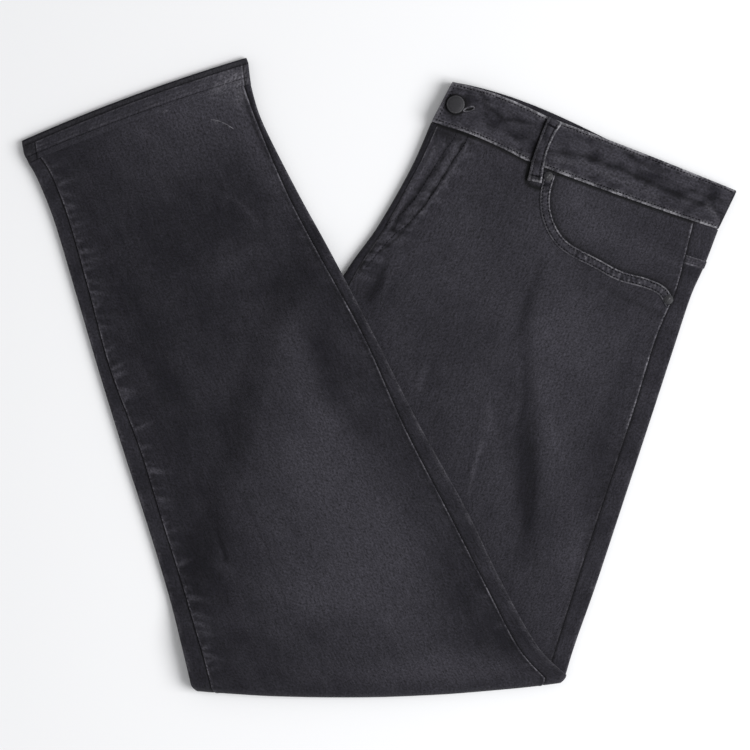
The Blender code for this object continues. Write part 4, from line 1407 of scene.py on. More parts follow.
@dataclass
class LeftFront:
    """The panel on top of the thigh, from the fly to the side seam, cut away at the pocket mouth."""

    finishes: Wardrobe
    step: float = 1.6
    hidden_step: float = 9.0
    columns: int = 165
    flat_size: Pair = (0.29, 0.53)
    flat_area: float = 0.135
    side: Puckers = field(default_factory=lambda: Puckers(pitch=11.0, reach=9.0, height=0.55, seed=21))
    fly: Puckers = field(default_factory=lambda: Puckers(pitch=7.6, width=2.2, reach=6.5, height=1.3, seed=4))

    @staticmethod
    def fly_inset(section: Section) -> float:
        """How far in from the centre-front fold the fly edge lies."""
        return max(section.left_seam, section.stack / 2 + 0.5)

    def grids(self, thickness: float = WALL, lowered: float = 0.0) -> Grids:
        """The panel's two faces and its looks.

        Args:
            thickness: The thickness of the cloth.
            lowered: How far under the panel's own face it lies.

        Returns:
            The outer points, the inner points and the looks.
        """
        rows = Rows()
        for station in thigh_stations(self.step, 0.0, 5.5) + thigh_stations(self.hidden_step, 5.5, 8.0)[1:]:
            section = station.section
            start = self.fly_inset(section) + GAP
            width = section.width - section.right_seam - GAP - start
            away = panel_offsets(width, self.columns)
            across = start + away
            level = station.place(across, section.stack)
            travel, flat = rows.travel_to(level[0]), level[:, :2]
            seen = smoothstep((reach_from(flat, LEG_EDGE) - 3.0) / 12.0)
            shows = smoothstep((section.left_y - THIGH[CROTCH_ROW - 1].left_y) / 30.0 - 0.3)
            near_fold = smoothstep((section.left_y - THIGH[-1].left_y) / 40.0 - 0.4)
            rolls = roll_of(away) * shows + roll_of(width - away) * near_fold
            along = np.full(len(away), travel)
            held = smoothstep(np.minimum(away, width - away) / 10.0) * smoothstep(travel / 14.0)
            relief = (relief_of(THIGH_CREASES, flat) + sway(flat)) * (0.3 + 0.7 * held)
            past_fly = reach_from(flat, FLY_LINE)
            from_fly = np.abs(past_fly)
            one_sided = np.where(past_fly > 0.0, 1.6, 0.8)
            lumps = self.fly.height_at(along, from_fly) * (from_fly < 24.0) * one_sided
            between_lumps = np.clip(1.0 - lumps / 0.5, 0.0, 1.0) * smoothstep(travel / 60.0 - 0.3)
            # Painted shade in the hollows between the fly's puckers.
            hollows = bump(past_fly - 4.5, 3.6) * between_lumps
            puckers = self.side.height_at(along, width - away) + lumps
            marks = marks_of(THIGH_STROKES, flat) * seen
            relief = (relief + puckers) * seen
            height = section.stack - lowered + rolls / 2 + relief + marks[0]
            swell = swell_at(across, section.width) * (1.0 - smoothstep(travel / 45.0))
            faces = station.place(across, height), station.place(across, section.stack - lowered - thickness)
            for row in faces:
                row[:, :2] -= np.outer(swell, section.down)
            drawn = 0.6 * puckers + 0.9 * lumps - 0.22 * bump(from_fly, 9.0) * smoothstep(travel / 12.0)
            fade = THIGH_BASE + fade_of(THIGH_PATCHES, flat) + drawn * seen + marks[1]
            fade = fade + 0.26 * np.clip(relief, -1.0, 1.5)
            ragged = 0.55 + 0.45 * math.sin(travel / 6.0) * math.sin(travel / 19.0 + 2.0)
            high = smoothstep((section.right_y + 75.0) / 60.0)
            rubbed = 2.0 * ragged * bump(width - away - 0.6, 0.65) * (0.25 + 0.75 * high)
            rubbed = rubbed + 0.9 * ragged * bump(away - 0.5, 0.6) + marks[2]
            # Painted shadow under the waistband's lower edge, and painted shade beside the side seam, more of
            # it low on the thigh.
            under_band = 1.1 * math.exp(-((travel / 2.4) ** 4))
            shade = 0.2 * bump(width - away - 4.0, 1.4) + 0.5 * (1.0 - high) * bump(width - away - 0.4, 0.9)
            rows.add(*faces, fade, rubbed, shade + under_band + 0.45 * hollows * seen + marks[3])
        return rows.grids()


def half_round(centre: float, radius: float, steps: int) -> Array:
    """Insets and depths down a half circle, from its top to its foot."""
    angle = np.pi * np.arange(steps + 1) / steps
    return centre - radius * np.column_stack((np.sin(angle), np.cos(angle)))


@dataclass
class EdgeStrip:
    """A back panel or yoke where it wraps round one edge of the folded garment."""

    name: str
    node: str
    side: Side
    face: Face
    stations: list[Station]
    flat_size: Pair
    finishes: Wardrobe
    arc_steps: int = 10
    tab: Pair = (0.0, 0.0)
    tab_rise: float = 0.7
    fade: float = 0.12
    seam_dip: float = 0.45

    def path(self, station: Station) -> tuple[Array, Array]:
        """Insets and depths across the strip: its outer face, then its inner one."""
        section = station.section
        split = station.split - GAP / 2
        flat = max(section.left_seam if self.side is Side.LEFT else section.right_seam, station.split)
        radius = split / 2
        steps = np.array((0.0, 0.5, 1.2, 2.2, 3.4))
        shift = steps * min(1.0, (flat - radius) / 4.0)
        level = np.concatenate((flat - shift, [(flat + 3 * radius) / 4]))
        level = np.sort(np.unique(np.clip(level, radius + 0.05, flat)))[::-1]
        level = np.concatenate((level, np.full(len(steps) + 1 - len(level), radius + 0.02)))
        dips = self.seam_dip * (1.0 - smoothstep((flat - level) / 2.4))
        outer = np.concatenate((np.column_stack((level, dips)), half_round(radius, radius, self.arc_steps)))
        inner = np.column_stack((level, np.full(len(level), WALL)))
        return outer, np.concatenate((inner, half_round(radius, radius - WALL, self.arc_steps)))

    def build(self) -> Object:
        """The strip, as a closed wall of cloth."""
        rows, order = Rows(), -1 if self.side is Side.LEFT else 1
        (start, end), tabbed = self.tab, self.tab[1] > self.tab[0]
        for station in self.stations:
            section = station.section
            faces = self.path(station)
            travel = rows.travel_to(station.place(np.array([section.width / 2]), 0.0)[0])
            lift = 0.0
            if tabbed:
                lift = self.tab_rise * (smoothstep((travel - start) / 1.5) * smoothstep((end - travel) / 1.5))
            points = []
            for (inset, depth), lifted in zip((faces[0].T, faces[1].T), (lift, 0.0)):
                depth = np.where(depth < station.split / 2, depth - lifted, depth)
                inset = np.where(inset < station.split / 2 - 0.1, inset - lifted, inset)
                distance = inset if self.side is Side.LEFT else section.width - inset
                depth = section.stack - depth if self.face is Face.UPPER else depth
                points.append(station.place(distance, depth)[::order])
            inset, depth = faces[0].T
            ragged = 0.6 + 0.4 * math.sin(travel / 4.3) * math.sin(travel / 13.0)
            ends = bump(travel - start - 1.0, 0.8) + bump(travel - end + 1.0, 0.8)
            lines = ends + 0.22 * (1.0 + math.sin(travel * 2.2)) * (lift > 0.1)
            rub = 0.50 * ragged * bump(inset - 0.6, 1.3) + (0.9 * ragged * lines if tabbed else 0.0)
            # Painted shade on the strip's outer face next to its seam.
            shade = 0.85 * bump(inset[0] - inset, 1.3) * (depth < station.split / 2)
            rows.add(*points, self.fade, rub[::order], shade[::order])
        outer, inner, looks = rows.grids()
        along = np.linspace(0.0, 1.0, len(outer))[:, None] * len(outer)
        looks.fade += 0.16 * np.sin(along / 3.0) * np.sin(along / 7.7)
        item = wall(self.name, (outer, inner, looks), self.finishes.denim)
        return lay(item, self.node)


@dataclass
class HiddenLayers:
    """The hidden layers of both legs as one rounded body, layered where its edges show."""

    finishes: Wardrobe
    columns: int = 26
    thigh_step: float = 10.0
    leg_step: float = 8.0

    @staticmethod
    def layered(station: Station, low: float, high: float, bulge: float) -> Array:
        """Insets and depths down an edge, grooved where one leg lies on the other."""
        split = station.split
        back, groove = split / 2 + 0.6, split + GAP
        points = [(back + 0.5, low), (back, low + 0.4), (back, split - 0.7), (back + 1.0, groove - 0.1)]
        for step in range(1, 10):
            angle = math.pi * step / 10
            depth = groove + (high - groove) * (1.0 - math.cos(angle)) / 2
            reach = back - bulge * (back - 0.1) * math.sin(angle) ** 0.6
            points.append((reach, depth))
        points.append((back + 0.3 + (0.0 if bulge else 0.6), high))
        return np.array(points)


    def ring(self, station: Station) -> Array:
        """The points round one section."""
        section = station.section
        on_thigh = station.run is Run.THIGH
        low = SKIN + CORE_SLACK
        high = section.stack
        if station.run is not Run.LEG:
            high = section.stack - SKIN - CORE_SLACK / 2 if on_thigh else LEG_STACK
        left = right = self.layered(station, low, high, 1.0)
        if on_thigh:
            right = self.layered(station, low, high, 0.0)
        if on_thigh and section.left_y >= THIGH[CROTCH_ROW].left_y:
            radius = (high - low) / 2
            left = half_round(low + radius, radius, len(left) - 1)
        start = max(section.left_seam, section.stack / 2 + 0.8)
        middle = np.linspace(start, section.width - section.right_seam, self.columns)
        distance = np.concatenate((left[:, 0], middle, section.width - right[::-1, 0], middle[::-1]))
        top, under = np.full(self.columns, high), np.full(self.columns, low)
        depth = np.concatenate((left[:, 1], top, right[::-1, 1], under))
        return station.place(distance, depth)

    def build(self) -> Object:
        """The body, closed at its ends."""
        stations = whole_run(self.thigh_step, self.leg_step)
        rings = np.array([self.ring(station) for station in stations], float)
        rows, around = rings.shape[:2]
        side = (around - 2 * self.columns) // 2
        upper = [side - 1 + k for k in range(self.columns + 2)]
        lower = [0] + [around - 1 - k for k in range(self.columns + 1)]
        caps = [(upper[k], upper[k + 1], lower[k + 1], lower[k]) for k in range(self.columns + 1)]
        for start in (0, side + self.columns):
            caps += self.fan(start, side)
        caps = np.array(caps)
        every = np.concatenate((ring_faces(rows, around), caps, caps[:, ::-1] + (rows - 1) * around))
        item = mesh_object("hidden_layers_denim", rings.reshape(-1, 3), every, self.finishes.inside)
        blank = np.zeros(rings.shape[:2])
        dress(item, Looks(cut_of(rings), blank, blank, blank), copies=1)
        return settle(item, "hidden_layers", "hidden_layers")

    @staticmethod
    def fan(start: int, count: int) -> list[tuple[int, int, int, int]]:
        """Quads between the two halves of an even run of points that closes on itself."""
        return [
            (start + k, start + k + 1, start + count - 2 - k, start + count - 1 - k)
            for k in range(count // 2 - 1)
        ]


# The fly and the front pocket


@dataclass
class Fly:
    """The right front's edge round the centre-front fold, and the topstitching of the fly above it."""

    finishes: Wardrobe
    step: float = 3.0
    arc_steps: int = 14
    flat_size: Pair = (0.0175, 0.168)
    topstitch: tuple[Pair, ...] = (
        (78.6, 216.0), (74.0, 206.9), (62.4, 190.7), (48.9, 168.3), (38.2, 152.2),
        (24.7, 137.8), (13.1, 128.9), (2.0, 117.0), (-12.0, 100.0),
    )
    row_gap: float = 11.0

    def build(self) -> Object:
        """The edge, as a closed wall of cloth."""
        rows = Rows()
        for station in thigh_stations(self.step, 0.0, CROTCH_ROW - 0.5):
            section = station.section
            flat, radius = LeftFront.fly_inset(section), section.stack / 2
            level = np.linspace(flat, radius, 4)[:-1]
            dips = np.column_stack((level, 0.35 * bump(flat - level, 0.8)))
            straight = np.column_stack((level, np.full(len(level), WALL)))
            outer = np.concatenate((dips, half_round(radius, radius, self.arc_steps)))
            inner = np.concatenate((straight, half_round(radius, radius - WALL, self.arc_steps)))
            faces = [station.place(inset, section.stack - depth) for inset, depth in (outer.T, inner.T)]
            near = np.concatenate((flat - level, np.full(self.arc_steps + 1, 9.0)))
            # Painted shade in the dip where the front meets the fly edge.
            rows.add(*faces, 0.0, 0.12 * bump(outer[:, 0], 1.5), 0.8 * bump(near, 0.7))
        item = wall("right_fly_denim", rows.grids(), self.finishes.denim)
        return lay(item, "right_fly_edge")

    def rows(self, surface: Surface) -> list[Array]:
        """The two rows of the J-shaped topstitching, on the left front's top."""
        line = polyline(self.topstitch, 1.5)
        paths = (line + sideways(line) * offset for offset in (0.0, self.row_gap))
        return [surface.laid(path[reach_from(path, LEG_EDGE) > 1.0], 0.05) for path in paths]


@dataclass
class FrontPocket:
    """The left front with its pocket mouth: the facing behind it, the turned edge and two rivets.

    The mouth's points are distances across and down from the corner of the waist seam and side seam.
    """

    finishes: Wardrobe
    front: LeftFront
    mouth: tuple[Pair, ...] = (
        (131.0, -6.0), (130.0, 18.0), (123.5, 36.0), (111.0, 50.0), (96.0, 57.5),
        (69.0, 61.0), (46.0, 64.0), (20.0, 62.0), (3.0, 64.0), (-9.0, 73.0),
    )
    band_width: float = 9.0
    band_wall: float = 1.0
    band_flat: Pair = (0.0102, 0.195)
    facing_wall: float = 0.75
    facing_drop: float = 0.35
    facing_flat: Pair = (0.075, 0.135)
    facing_area: float = 0.0078
    cutter_reach: float = 60.0
    cutter_levels: Pair = (-5.0, 40.0)
    stitch_offsets: Pair = (1.9, 7.2)
    rivet_radius: float = 4.3
    rivets: tuple[tuple[str, float, float], ...] = (
        ("pocket_rivet_upper", 150.5, 180.4),
        ("pocket_rivet_lower", 258.4, 70.1),
    )

    def frame(self) -> tuple[Array, Array, Array]:
        """The mouth's corner, the direction across to the fly and the one down to the fold."""
        section = THIGH[0]
        corner = section.level(np.array([section.width - section.right_seam]))[0]
        return corner, -section.along, section.down

    def curve(self, spacing: float) -> Array:
        """Points along the mouth."""
        corner, across, down = self.frame()
        return polyline([corner + across * a + down * d for a, d in self.mouth], spacing)

    def outward(self, curve: Array) -> Array:
        """Unit vectors out of the opening, towards the panel."""
        normal = sideways(curve)
        return normal * np.sign(normal[0] @ self.frame()[1])

    def cutter(self, offset: float) -> Object:
        """A prism over the corner that the mouth leaves open, grown by an offset towards the panel."""
        corner, across, down = self.frame()
        curve = self.curve(2.0)
        outline = list(curve + self.outward(curve) * offset)
        outline.append(outline[-1] - across * self.cutter_reach)
        outline.append(corner - (across + down) * self.cutter_reach)
        outline.append(outline[0] - down * self.cutter_reach)
        count = len(outline)
        points = placed([(x, y, z) for z in self.cutter_levels for x, y in outline])
        faces = [tuple(range(count))[::-1], tuple(range(count, 2 * count))]
        faces += [(k, (k + 1) % count, (k + 1) % count + count, k + count) for k in range(count)]
        return plain_object("mouth_cutter", points, faces)

    def trimmed(self, item: Object, offset: float, operation: str) -> Object:
        """The piece cut by the mouth's prism, or cut down to what lies in it."""
        cutter = self.cutter(offset)
        modifier = item.modifiers.new("mouth", "BOOLEAN")
        modifier.operation, modifier.solver, modifier.object = operation, "EXACT", cutter
        whole, item.data = item.data, seen_mesh(item)
        item.modifiers.clear()
        item.data.name = item.name
        bpy.data.meshes.remove(whole)
        bpy.data.objects.remove(cutter, do_unlink=True)
        return item

    def build_front(self) -> Object:
        """The left front, cut away at the mouth."""
        item = wall("left_front_denim", self.front.grids(), self.finishes.denim)
        item = self.trimmed(item, 0.0, "DIFFERENCE")
        return lay(item, "left_front_panel")

    def build_facing(self) -> Object:
        """The facing that shows in the opening."""
        outer, inner, looks = self.front.grids(self.facing_wall, self.facing_drop)
        away = np.abs(reach_from(outer.reshape(-1, 3)[:, :2], self.curve(6.0))).reshape(outer.shape[:2])
        # Painted shadow inside the mouth's edge, where the opening is shaded; further in, the facing is
        # lighter.
        looks.grime += 0.70 * bump(away, 2.4) + 0.22 * bump(away, 7.0)
        looks.fade += 0.22 * bump(away - 24.0, 11.0)
        item = wall("left_facing_denim", (outer, inner, looks), self.finishes.denim)
        item = self.trimmed(item, -GAP, "INTERSECT")
        return lay(item, "left_pocket_facing")

    def shown_curve(self, spacing: float) -> Array:
        """The mouth's points from the waist seam to the side seam."""
        curve = self.curve(spacing)
        below = (curve - THIGH[0].left) @ self.frame()[2]
        return curve[below > 1.5]

    def build_band(self, surface: Surface) -> Object:
        """The mouth's turned edge, drawn up in small ridges between its two rows of stitches."""
        spacing, chunk = 0.9, 9.0
        curve = self.shown_curve(spacing)
        outward = self.outward(curve)
        travel = np.arange(len(curve)) * spacing
        rng = np.random.default_rng(5)
        places = np.arange(0.0, travel[-1] + chunk, chunk)
        chance = np.interp(travel, places, rng.uniform(0.15, 1.0, len(places)))
        phase = travel / 4.8 * 2 * math.pi + np.interp(travel, places, rng.uniform(0.0, 3.4, len(places)))
        rows = []
        for offset in (0.15, 0.5, 1.0, 1.6, 2.4, 3.3, 4.3, 5.3, 6.3, 7.1, 7.8, 8.3, 8.7, 9.0):
            path = curve + outward * offset
            base = evened(surface.height(curve + outward * max(offset, 0.6)), 4) + GAP
            edge = min(offset - 0.15, self.band_width - offset)
            shape = 0.45 + 0.55 * smoothstep(edge / 1.2)
            furrow = sum(-0.26 * bump(offset - row, 0.6) for row in self.stitch_offsets)
            between_rows = smoothstep((offset - 1.5) / 1.2) * smoothstep((8.0 - offset) / 1.2)
            ribs = np.sin(phase - offset * 0.35) + 0.7 * np.sin(0.43 * phase + offset * 0.5)
            ridges = 0.26 * between_rows * chance * ribs
            height = base + self.band_wall * shape + furrow + ridges + 0.15 * bump(offset - 0.9, 0.7)
            lip = 1.4 * bump(offset - 0.7, 0.7) + 0.6 * bump(offset - 8.4, 0.6)
            wear = lip * (0.45 + 0.55 * chance) + 0.5 * between_rows * np.clip(ridges / 0.3, 0.0, 1.0) ** 2
            blotches = 0.3 * np.sin(travel / 5.3 + offset * 0.4) * np.sin(travel / 14.0 + 1.0)
            fade = THIGH_BASE + 0.15 + 1.3 * ridges + blotches
            # Painted shade in the stitch furrows and in the hollows between the ridges.
            shade = -1.6 * furrow + 0.3 * between_rows * np.clip(-ridges / 0.3, 0.0, 1.0)
            rows.append((np.column_stack((path, height)), np.column_stack((path, base)), fade, wear, shade))
        outer, inner, *looks = (np.swapaxes(np.array(grid), 0, 1) for grid in zip(*rows))
        item = wall("left_mouth_denim", (outer, inner, Looks(cut_of(outer), *looks)), self.finishes.trim)
        return lay(item, "left_pocket_band")

    def rows(self, surface: Surface) -> list[Array]:
        """The mouth's two rows of stitches."""
        curve = self.shown_curve(1.2)
        return [surface.laid(curve + self.outward(curve) * offset, 0.12) for offset in self.stitch_offsets]

    def build_rivets(self, surface: Surface) -> None:
        """The rivets at the mouth's two ends."""
        for node, *middle in self.rivets:
            base = float(np.median(surface.round_heights(middle, 3.0, 8))) - 0.15
            size = self.rivet_radius, base, RIVET_PROFILE, 28
            item = turned(node + "_metal", middle, *size, self.finishes.metal)
            settle(item, node, node)


# Radius and height of the turned profiles, as shares of the radius
BUTTON_PROFILE = (
    (0.0, 0.42), (0.30, 0.415), (0.58, 0.40), (0.72, 0.385), (0.78, 0.365), (0.83, 0.36), (0.90, 0.355),
    (0.96, 0.32), (0.995, 0.25), (1.0, 0.18), (0.97, 0.08), (0.92, 0.0), (0.0, 0.0),
)
RIVET_PROFILE = (
    (0.0, 0.36), (0.20, 0.355), (0.42, 0.335), (0.58, 0.30), (0.66, 0.27),
    (0.80, 0.25), (0.92, 0.19), (0.98, 0.10), (1.0, 0.0), (0.0, 0.0),
)


def turned(
    name: str,
    centre: Pair,
    radius: float,
    base: float,
    profile: Sequence[Pair],
    sides: int,
    material: Material,
) -> Object:
    """A round piece of trim, its profile turned about the vertical.

    Args:
        name: The piece's name.
        centre: Its place in the lay's millimetres.
        radius: Its radius.
        base: The height that it stands on.
        profile: Radius and height as shares of the radius, from the top's middle to the foot's.
        sides: How many steps it is turned in.
        material: Its finish.

    Returns:
        The piece.
    """
    rings = np.array(profile[1:-1])
    angle = 2 * math.pi * np.arange(sides) / sides
    x = centre[0] + radius * np.outer(rings[:, 0], np.cos(angle))
    y = centre[1] + radius * np.outer(rings[:, 0], np.sin(angle))
    z = base + radius * np.repeat(rings[:, 1:], sides, axis=1)
    top = (*centre, base + profile[0][1] * radius)
    points = [top, *zip(x.ravel(), y.ravel(), z.ravel()), (*centre, base)]
    last = len(points) - 1
    faces = []
    for step in range(sides):
        after = (step + 1) % sides
        faces.append((0, 1 + step, 1 + after))
        for ring in range(len(rings) - 1):
            low = 1 + ring * sides
            faces.append((low + step, low + sides + step, low + sides + after, low + after))
        low = 1 + (len(rings) - 1) * sides
        faces.append((low + step, last, low + after))
    item = plain_object(name, placed(points), faces)
    item.data.shade_smooth()
    item.data.set_sharp_from_angle(angle=math.radians(60))
    item.data.materials.append(material)
    return item


# The waist


@dataclass
class Waist:
    """The waistband with its stitches, belt loop, button and buttonhole."""

    finishes: Wardrobe
    height: float = 40.0
    band_wall: float = 2.4
    level_step: float = 2.7
    underlap: float = 38.0
    underlap_step: float = 13.0
    back_rise: float = 5.6
    back_reach: float = 0.55
    end_gap: float = 0.4
    edge_row: float = 2.6
    flat_size: Pair = (0.041, 1.20)
    loop_width: float = 12.0
    loop_wall: float = 1.5
    loop_line: tuple[Pair, ...] = (
        (156.6, 231.0), (150.2, 218.5), (144.9, 205.1), (141.3, 192.5), (139.9, 185.3), (137.9, 175.6),
    )
    # How far down from the loop's top end, and how far it stands off what is under it there
    loop_rows: tuple[Pair, ...] = (
        (0.0, 0.0), (3.0, 1.2), (7.0, 0.9), (22.0, 1.6), (38.0, 1.6), (50.0, 0.9), (56.0, 1.3), (59.0, 0.2),
    )
    loop_flat: Pair = (0.0135, 0.062)
    button_at: Pair = (67.3, 244.4)
    button_radius: float = 8.1
    buttonhole: tuple[Pair, ...] = ((74.2, 239.0), (84.2, 241.8))

    @staticmethod
    def arc(centre: float, low: float, high: float, side: int) -> list[Pair]:
        """Points up a half circle that bulges to one side."""
        radius = (high - low) / 2
        angles = [math.pi * step / 10 for step in range(11)]
        return [(centre + side * radius * math.sin(a), low + radius * (1 - math.cos(a))) for a in angles]

    @staticmethod
    def run(start: float, end: float, height: float, spacing: float = 3.0) -> list[Pair]:
        """Points between the ends of a level stretch."""
        steps = max(int(abs(end - start) / spacing), 1)
        return [(start + (end - start) * k / steps, height) for k in range(1, steps)]

    def path(self, width: float) -> Array:
        """Distances from the left end and heights along the folded band's middle line."""
        arc, run = self.arc, self.run
        level = [self.band_wall / 2 + self.level_step * k for k in range(5)]
        big = (level[3] - level[0]) / 2 + self.band_wall / 2
        tight = self.level_step / 2 + self.band_wall / 2
        right = width - tight
        inner = big + tight - 1.0
        top_start = self.underlap + self.underlap_step
        found = [(self.underlap, level[3])] + run(self.underlap, big, level[3])
        found += arc(big, level[0], level[3], -1)[::-1]
        found += run(big, right, level[0], 6.0) + arc(right, level[0], level[1], 1)
        found += run(right, inner, level[1], 6.0) + arc(inner, level[1], level[2], -1)
        found += run(inner, right, level[2], 6.0) + arc(right, level[2], level[3], 1)
        found += run(right, top_start, level[3], 1.3) + [(top_start, level[3])]
        for share in np.arange(1, 9) / 8:
            rise = self.level_step * smoothstep(share)
            found.append((top_start - self.underlap_step * share, level[3] + rise))
        return np.array(found + run(self.underlap, self.end_gap, level[4], 1.3) + [(self.end_gap, level[4])])

    def build_band(self) -> Object:
        """The waistband, one strip that goes round with the folded waist."""
        rows, width = Rows(), BAND[0].width
        path = self.path(width)
        tangent = np.gradient(path, axis=0)
        tangent /= np.hypot(*tangent.T)[:, None]
        normal = np.column_stack((-tangent[:, 1], tangent[:, 0]))
        top_level = self.band_wall / 2 + self.level_step * 3
        on_top = (path[:, 1] > top_level - 0.05) & (np.arange(len(path)) > path[:, 1].argmin())
        back = (path[:, 1] > self.level_step) & (path[:, 1] < 3 * self.level_step - GAP)
        along = path[:, 0]
        edges = np.array((0.0, 0.006, 0.015, 0.03, 0.05))
        for share in np.concatenate((edges, np.linspace(0.07, 0.93, 29), 1.0 - edges[::-1])):
            section = between(BAND, share)
            scale = section.width / width
            from_edge = min(share, 1.0 - share) * self.height
            thickness = self.band_wall / 2 * (0.45 + 0.55 * smoothstep(from_edge / 1.1))
            furrow = -0.30 * bump(from_edge - self.edge_row, 0.9)
            body = math.sin(math.pi * share)
            across = along * scale
            middle = section.level(across) - np.outer(swell_at(across, section.width), section.down)
            marks = 1.5 * marks_of(BAND_STROKES, middle) * on_top
            wave = 0.30 * np.sin(along / 8.0 + share * 7.0 + 1.9 * np.sin(along / 21.0)) * body
            wave += 0.24 * np.sin(along / 4.7 - share * 11.0 + 1.6 * np.sin(along / 13.0)) * body
            drawn = 0.16 * np.sin(along / 2.1 + 3.0 * np.sin(along / 17.0)) * bump(from_edge - 4.6, 2.2)
            relief = np.where(on_top, wave + drawn + furrow + 0.8 * marks[0], furrow * 0.5)
            faces = []
            for lift in (-thickness - relief, np.full(len(path), thickness)):
                across, height = (path + normal * lift[:, None]).T
                across = across * scale
                shown = np.clip(across / (self.back_reach * width), 0.0, 1.0) ** 0.8
                rise = np.where(back, self.back_rise * share * np.sin(math.pi * shown), 0.0)
                rise = rise + np.where(on_top, swell_at(across, section.width), 0.0)
                faces.append(np.column_stack((section.level(across) - np.outer(rise, section.down), height)))
            blotch = 0.22 * np.sin(along / 13.0 + 3 * share) * np.sin(along / 31.0 + 1.0)
            fade = np.where(on_top, 0.26 + blotch + 0.85 * wave + 1.8 * drawn + marks[1], 0.0)
            ragged = 0.65 + 0.35 * np.sin(along / 5.0) * np.sin(along / 17.0)
            edge = 2.2 * bump(from_edge - 0.6, 0.85) * ragged * np.clip(along / 45.0, 0.3, 1.0)
            sewn = bump(from_edge - self.edge_row, 1.3)
            wear = np.where(on_top, edge + 0.45 * sewn * ragged + marks[2], 0.3 * edge)
            # Painted shade from the strokes on top, and an even painted shade on the layers under the top.
            rows.add(*faces, fade, wear, np.where(on_top, marks[3], 0.25))
        outer, inner, looks = rows.grids()
        looks.cut = looks.cut[..., ::-1].copy()
        item = wall("waistband_denim", (outer, inner, looks), self.finishes.trim)
        return lay(item, "waistband")

    def row_at(self, share: float, start: float, end: float, spacing: float = 1.5) -> Array:
        """Points along the band at a share of its height."""
        section = between(BAND, share)
        across = np.arange(start, section.width - end, spacing)
        return section.level(across) - np.outer(swell_at(across, section.width), section.down)

    def stitch_rows(self, surface: Surface) -> list[Array]:
        """Rows along both edges of the band and across its front end."""
        share = self.edge_row / self.height
        ends = [self.row_at(at, 4.0, 0.0)[0] for at in np.linspace(share, 1.0 - share, 30)]
        rows = (self.row_at(1.0 - share, 3.5, 4.0), self.row_at(share, 3.5, 3.0), np.array(ends))
        return [surface.laid(row, 0.12) for row in rows]

    def build_loop(self, surface: Surface) -> Object:
        """The belt loop, its long edges turned under and its foot folded back."""
        spacing = 0.8
        middle, side = self.loop_path(spacing)
        downs = np.arange(len(middle)) * spacing
        length = downs[-1]
        table = np.array(self.loop_rows)
        lift = evened(np.interp(downs, table[:, 0] * length / table[-1, 0], table[:, 1]), 3)
        flare = 1.0 + 0.16 * bump(downs, 7.0) - 0.12 * bump(downs - 27.0, 14.0)
        flare = flare + 0.10 * bump(length - downs, 6.0)
        base = np.max([surface.height(middle + side * reach) for reach in (-5.0, 0.0, 5.0)], axis=0)
        base = np.maximum(base, evened(base, 5)) + GAP
        half = self.loop_width / 2
        right = np.array((0.1, 0.3, 0.5, 0.66, 0.8, 0.9, 0.97, 1.0)) * half
        offsets = np.concatenate((-right[::-1], right))
        inside = half - np.abs(offsets)
        profile = 0.5 + 0.5 * smoothstep(inside / 1.1) + 0.22 * bump(inside - 1.3, 1.0)
        profile = profile - 0.28 * bump(inside - 2.8, 0.8)
        foot = bump(length - downs - 3.2, 1.9) + 0.6 * bump(downs - 2.0, 1.6)
        rows = Rows()
        for k, down in enumerate(downs):
            crossed = middle[k] + np.outer(offsets * flare[k], side[k])
            low = base[k] + lift[k]
            top = low + self.loop_wall * profile + 0.5 * foot[k]
            ragged = 0.7 + 0.3 * math.sin(down / 2.7) * math.sin(down / 7.1)
            rub = 1.9 * ragged * bump(inside - 0.7, 0.8) * np.where(offsets < 0.0, 1.0, 0.3)
            rub = rub + 0.4 * foot[k] * (0.5 + 0.5 * np.sin(offsets * 1.7))
            rub = rub + 0.9 * bump(length - down - 0.7, 0.9)
            # Painted shade at the tucked foot, where the loop crosses the band's lower edge, and in the
            # furrows inside its turned edges.
            tucked = 0.6 * bump(length - down - 3.0, 0.9) + 0.45 * bump(down - 41.0, 2.2)
            fade = 0.36 + 0.30 * np.sin(down / 4.0 + offsets * 0.6) + 0.45 * bump(down - 50.0, 3.0)
            faces = (np.column_stack((crossed, top)), np.column_stack((crossed, np.full(len(offsets), low))))
            rows.add(*faces, fade, rub, 0.5 * bump(inside - 2.8, 0.7) + tucked)
        item = wall("belt_loop_denim", rows.grids(), self.finishes.trim)
        return lay(item, "belt_loop")

    def loop_path(self, spacing: float) -> tuple[Array, Array]:
        """Points down the loop's middle, and unit vectors to its side."""
        middle = polyline(self.loop_line, spacing)
        return middle, sideways(middle)

    def loop_stitch_rows(self, surface: Surface) -> list[Array]:
        """The rows down the loop's two edges."""
        middle, side = self.loop_path(1.5)
        return [surface.laid((middle + side * reach)[3:-4], 0.1) for reach in (-3.3, 3.3)]

    def tack_rows(self, surface: Surface) -> list[Array]:
        """The dense bar of thread across the loop's foot and top."""
        middle, side = self.loop_path(0.5)
        width = np.linspace(-4.6, 4.6, 16)
        return [surface.laid(middle[k] + np.outer(width, side[k]), 0.1) for k in (13, len(middle) - 11)]

    def build_button(self, surface: Surface) -> Object:
        """The waist button."""
        base = float(surface.round_heights(self.button_at, 6.0, 12).max()) + 0.1
        size = self.button_radius, base, BUTTON_PROFILE, 48
        item = turned("waist_button_metal", self.button_at, *size, self.finishes.metal)
        return settle(item, "waist_button", "waist_button")

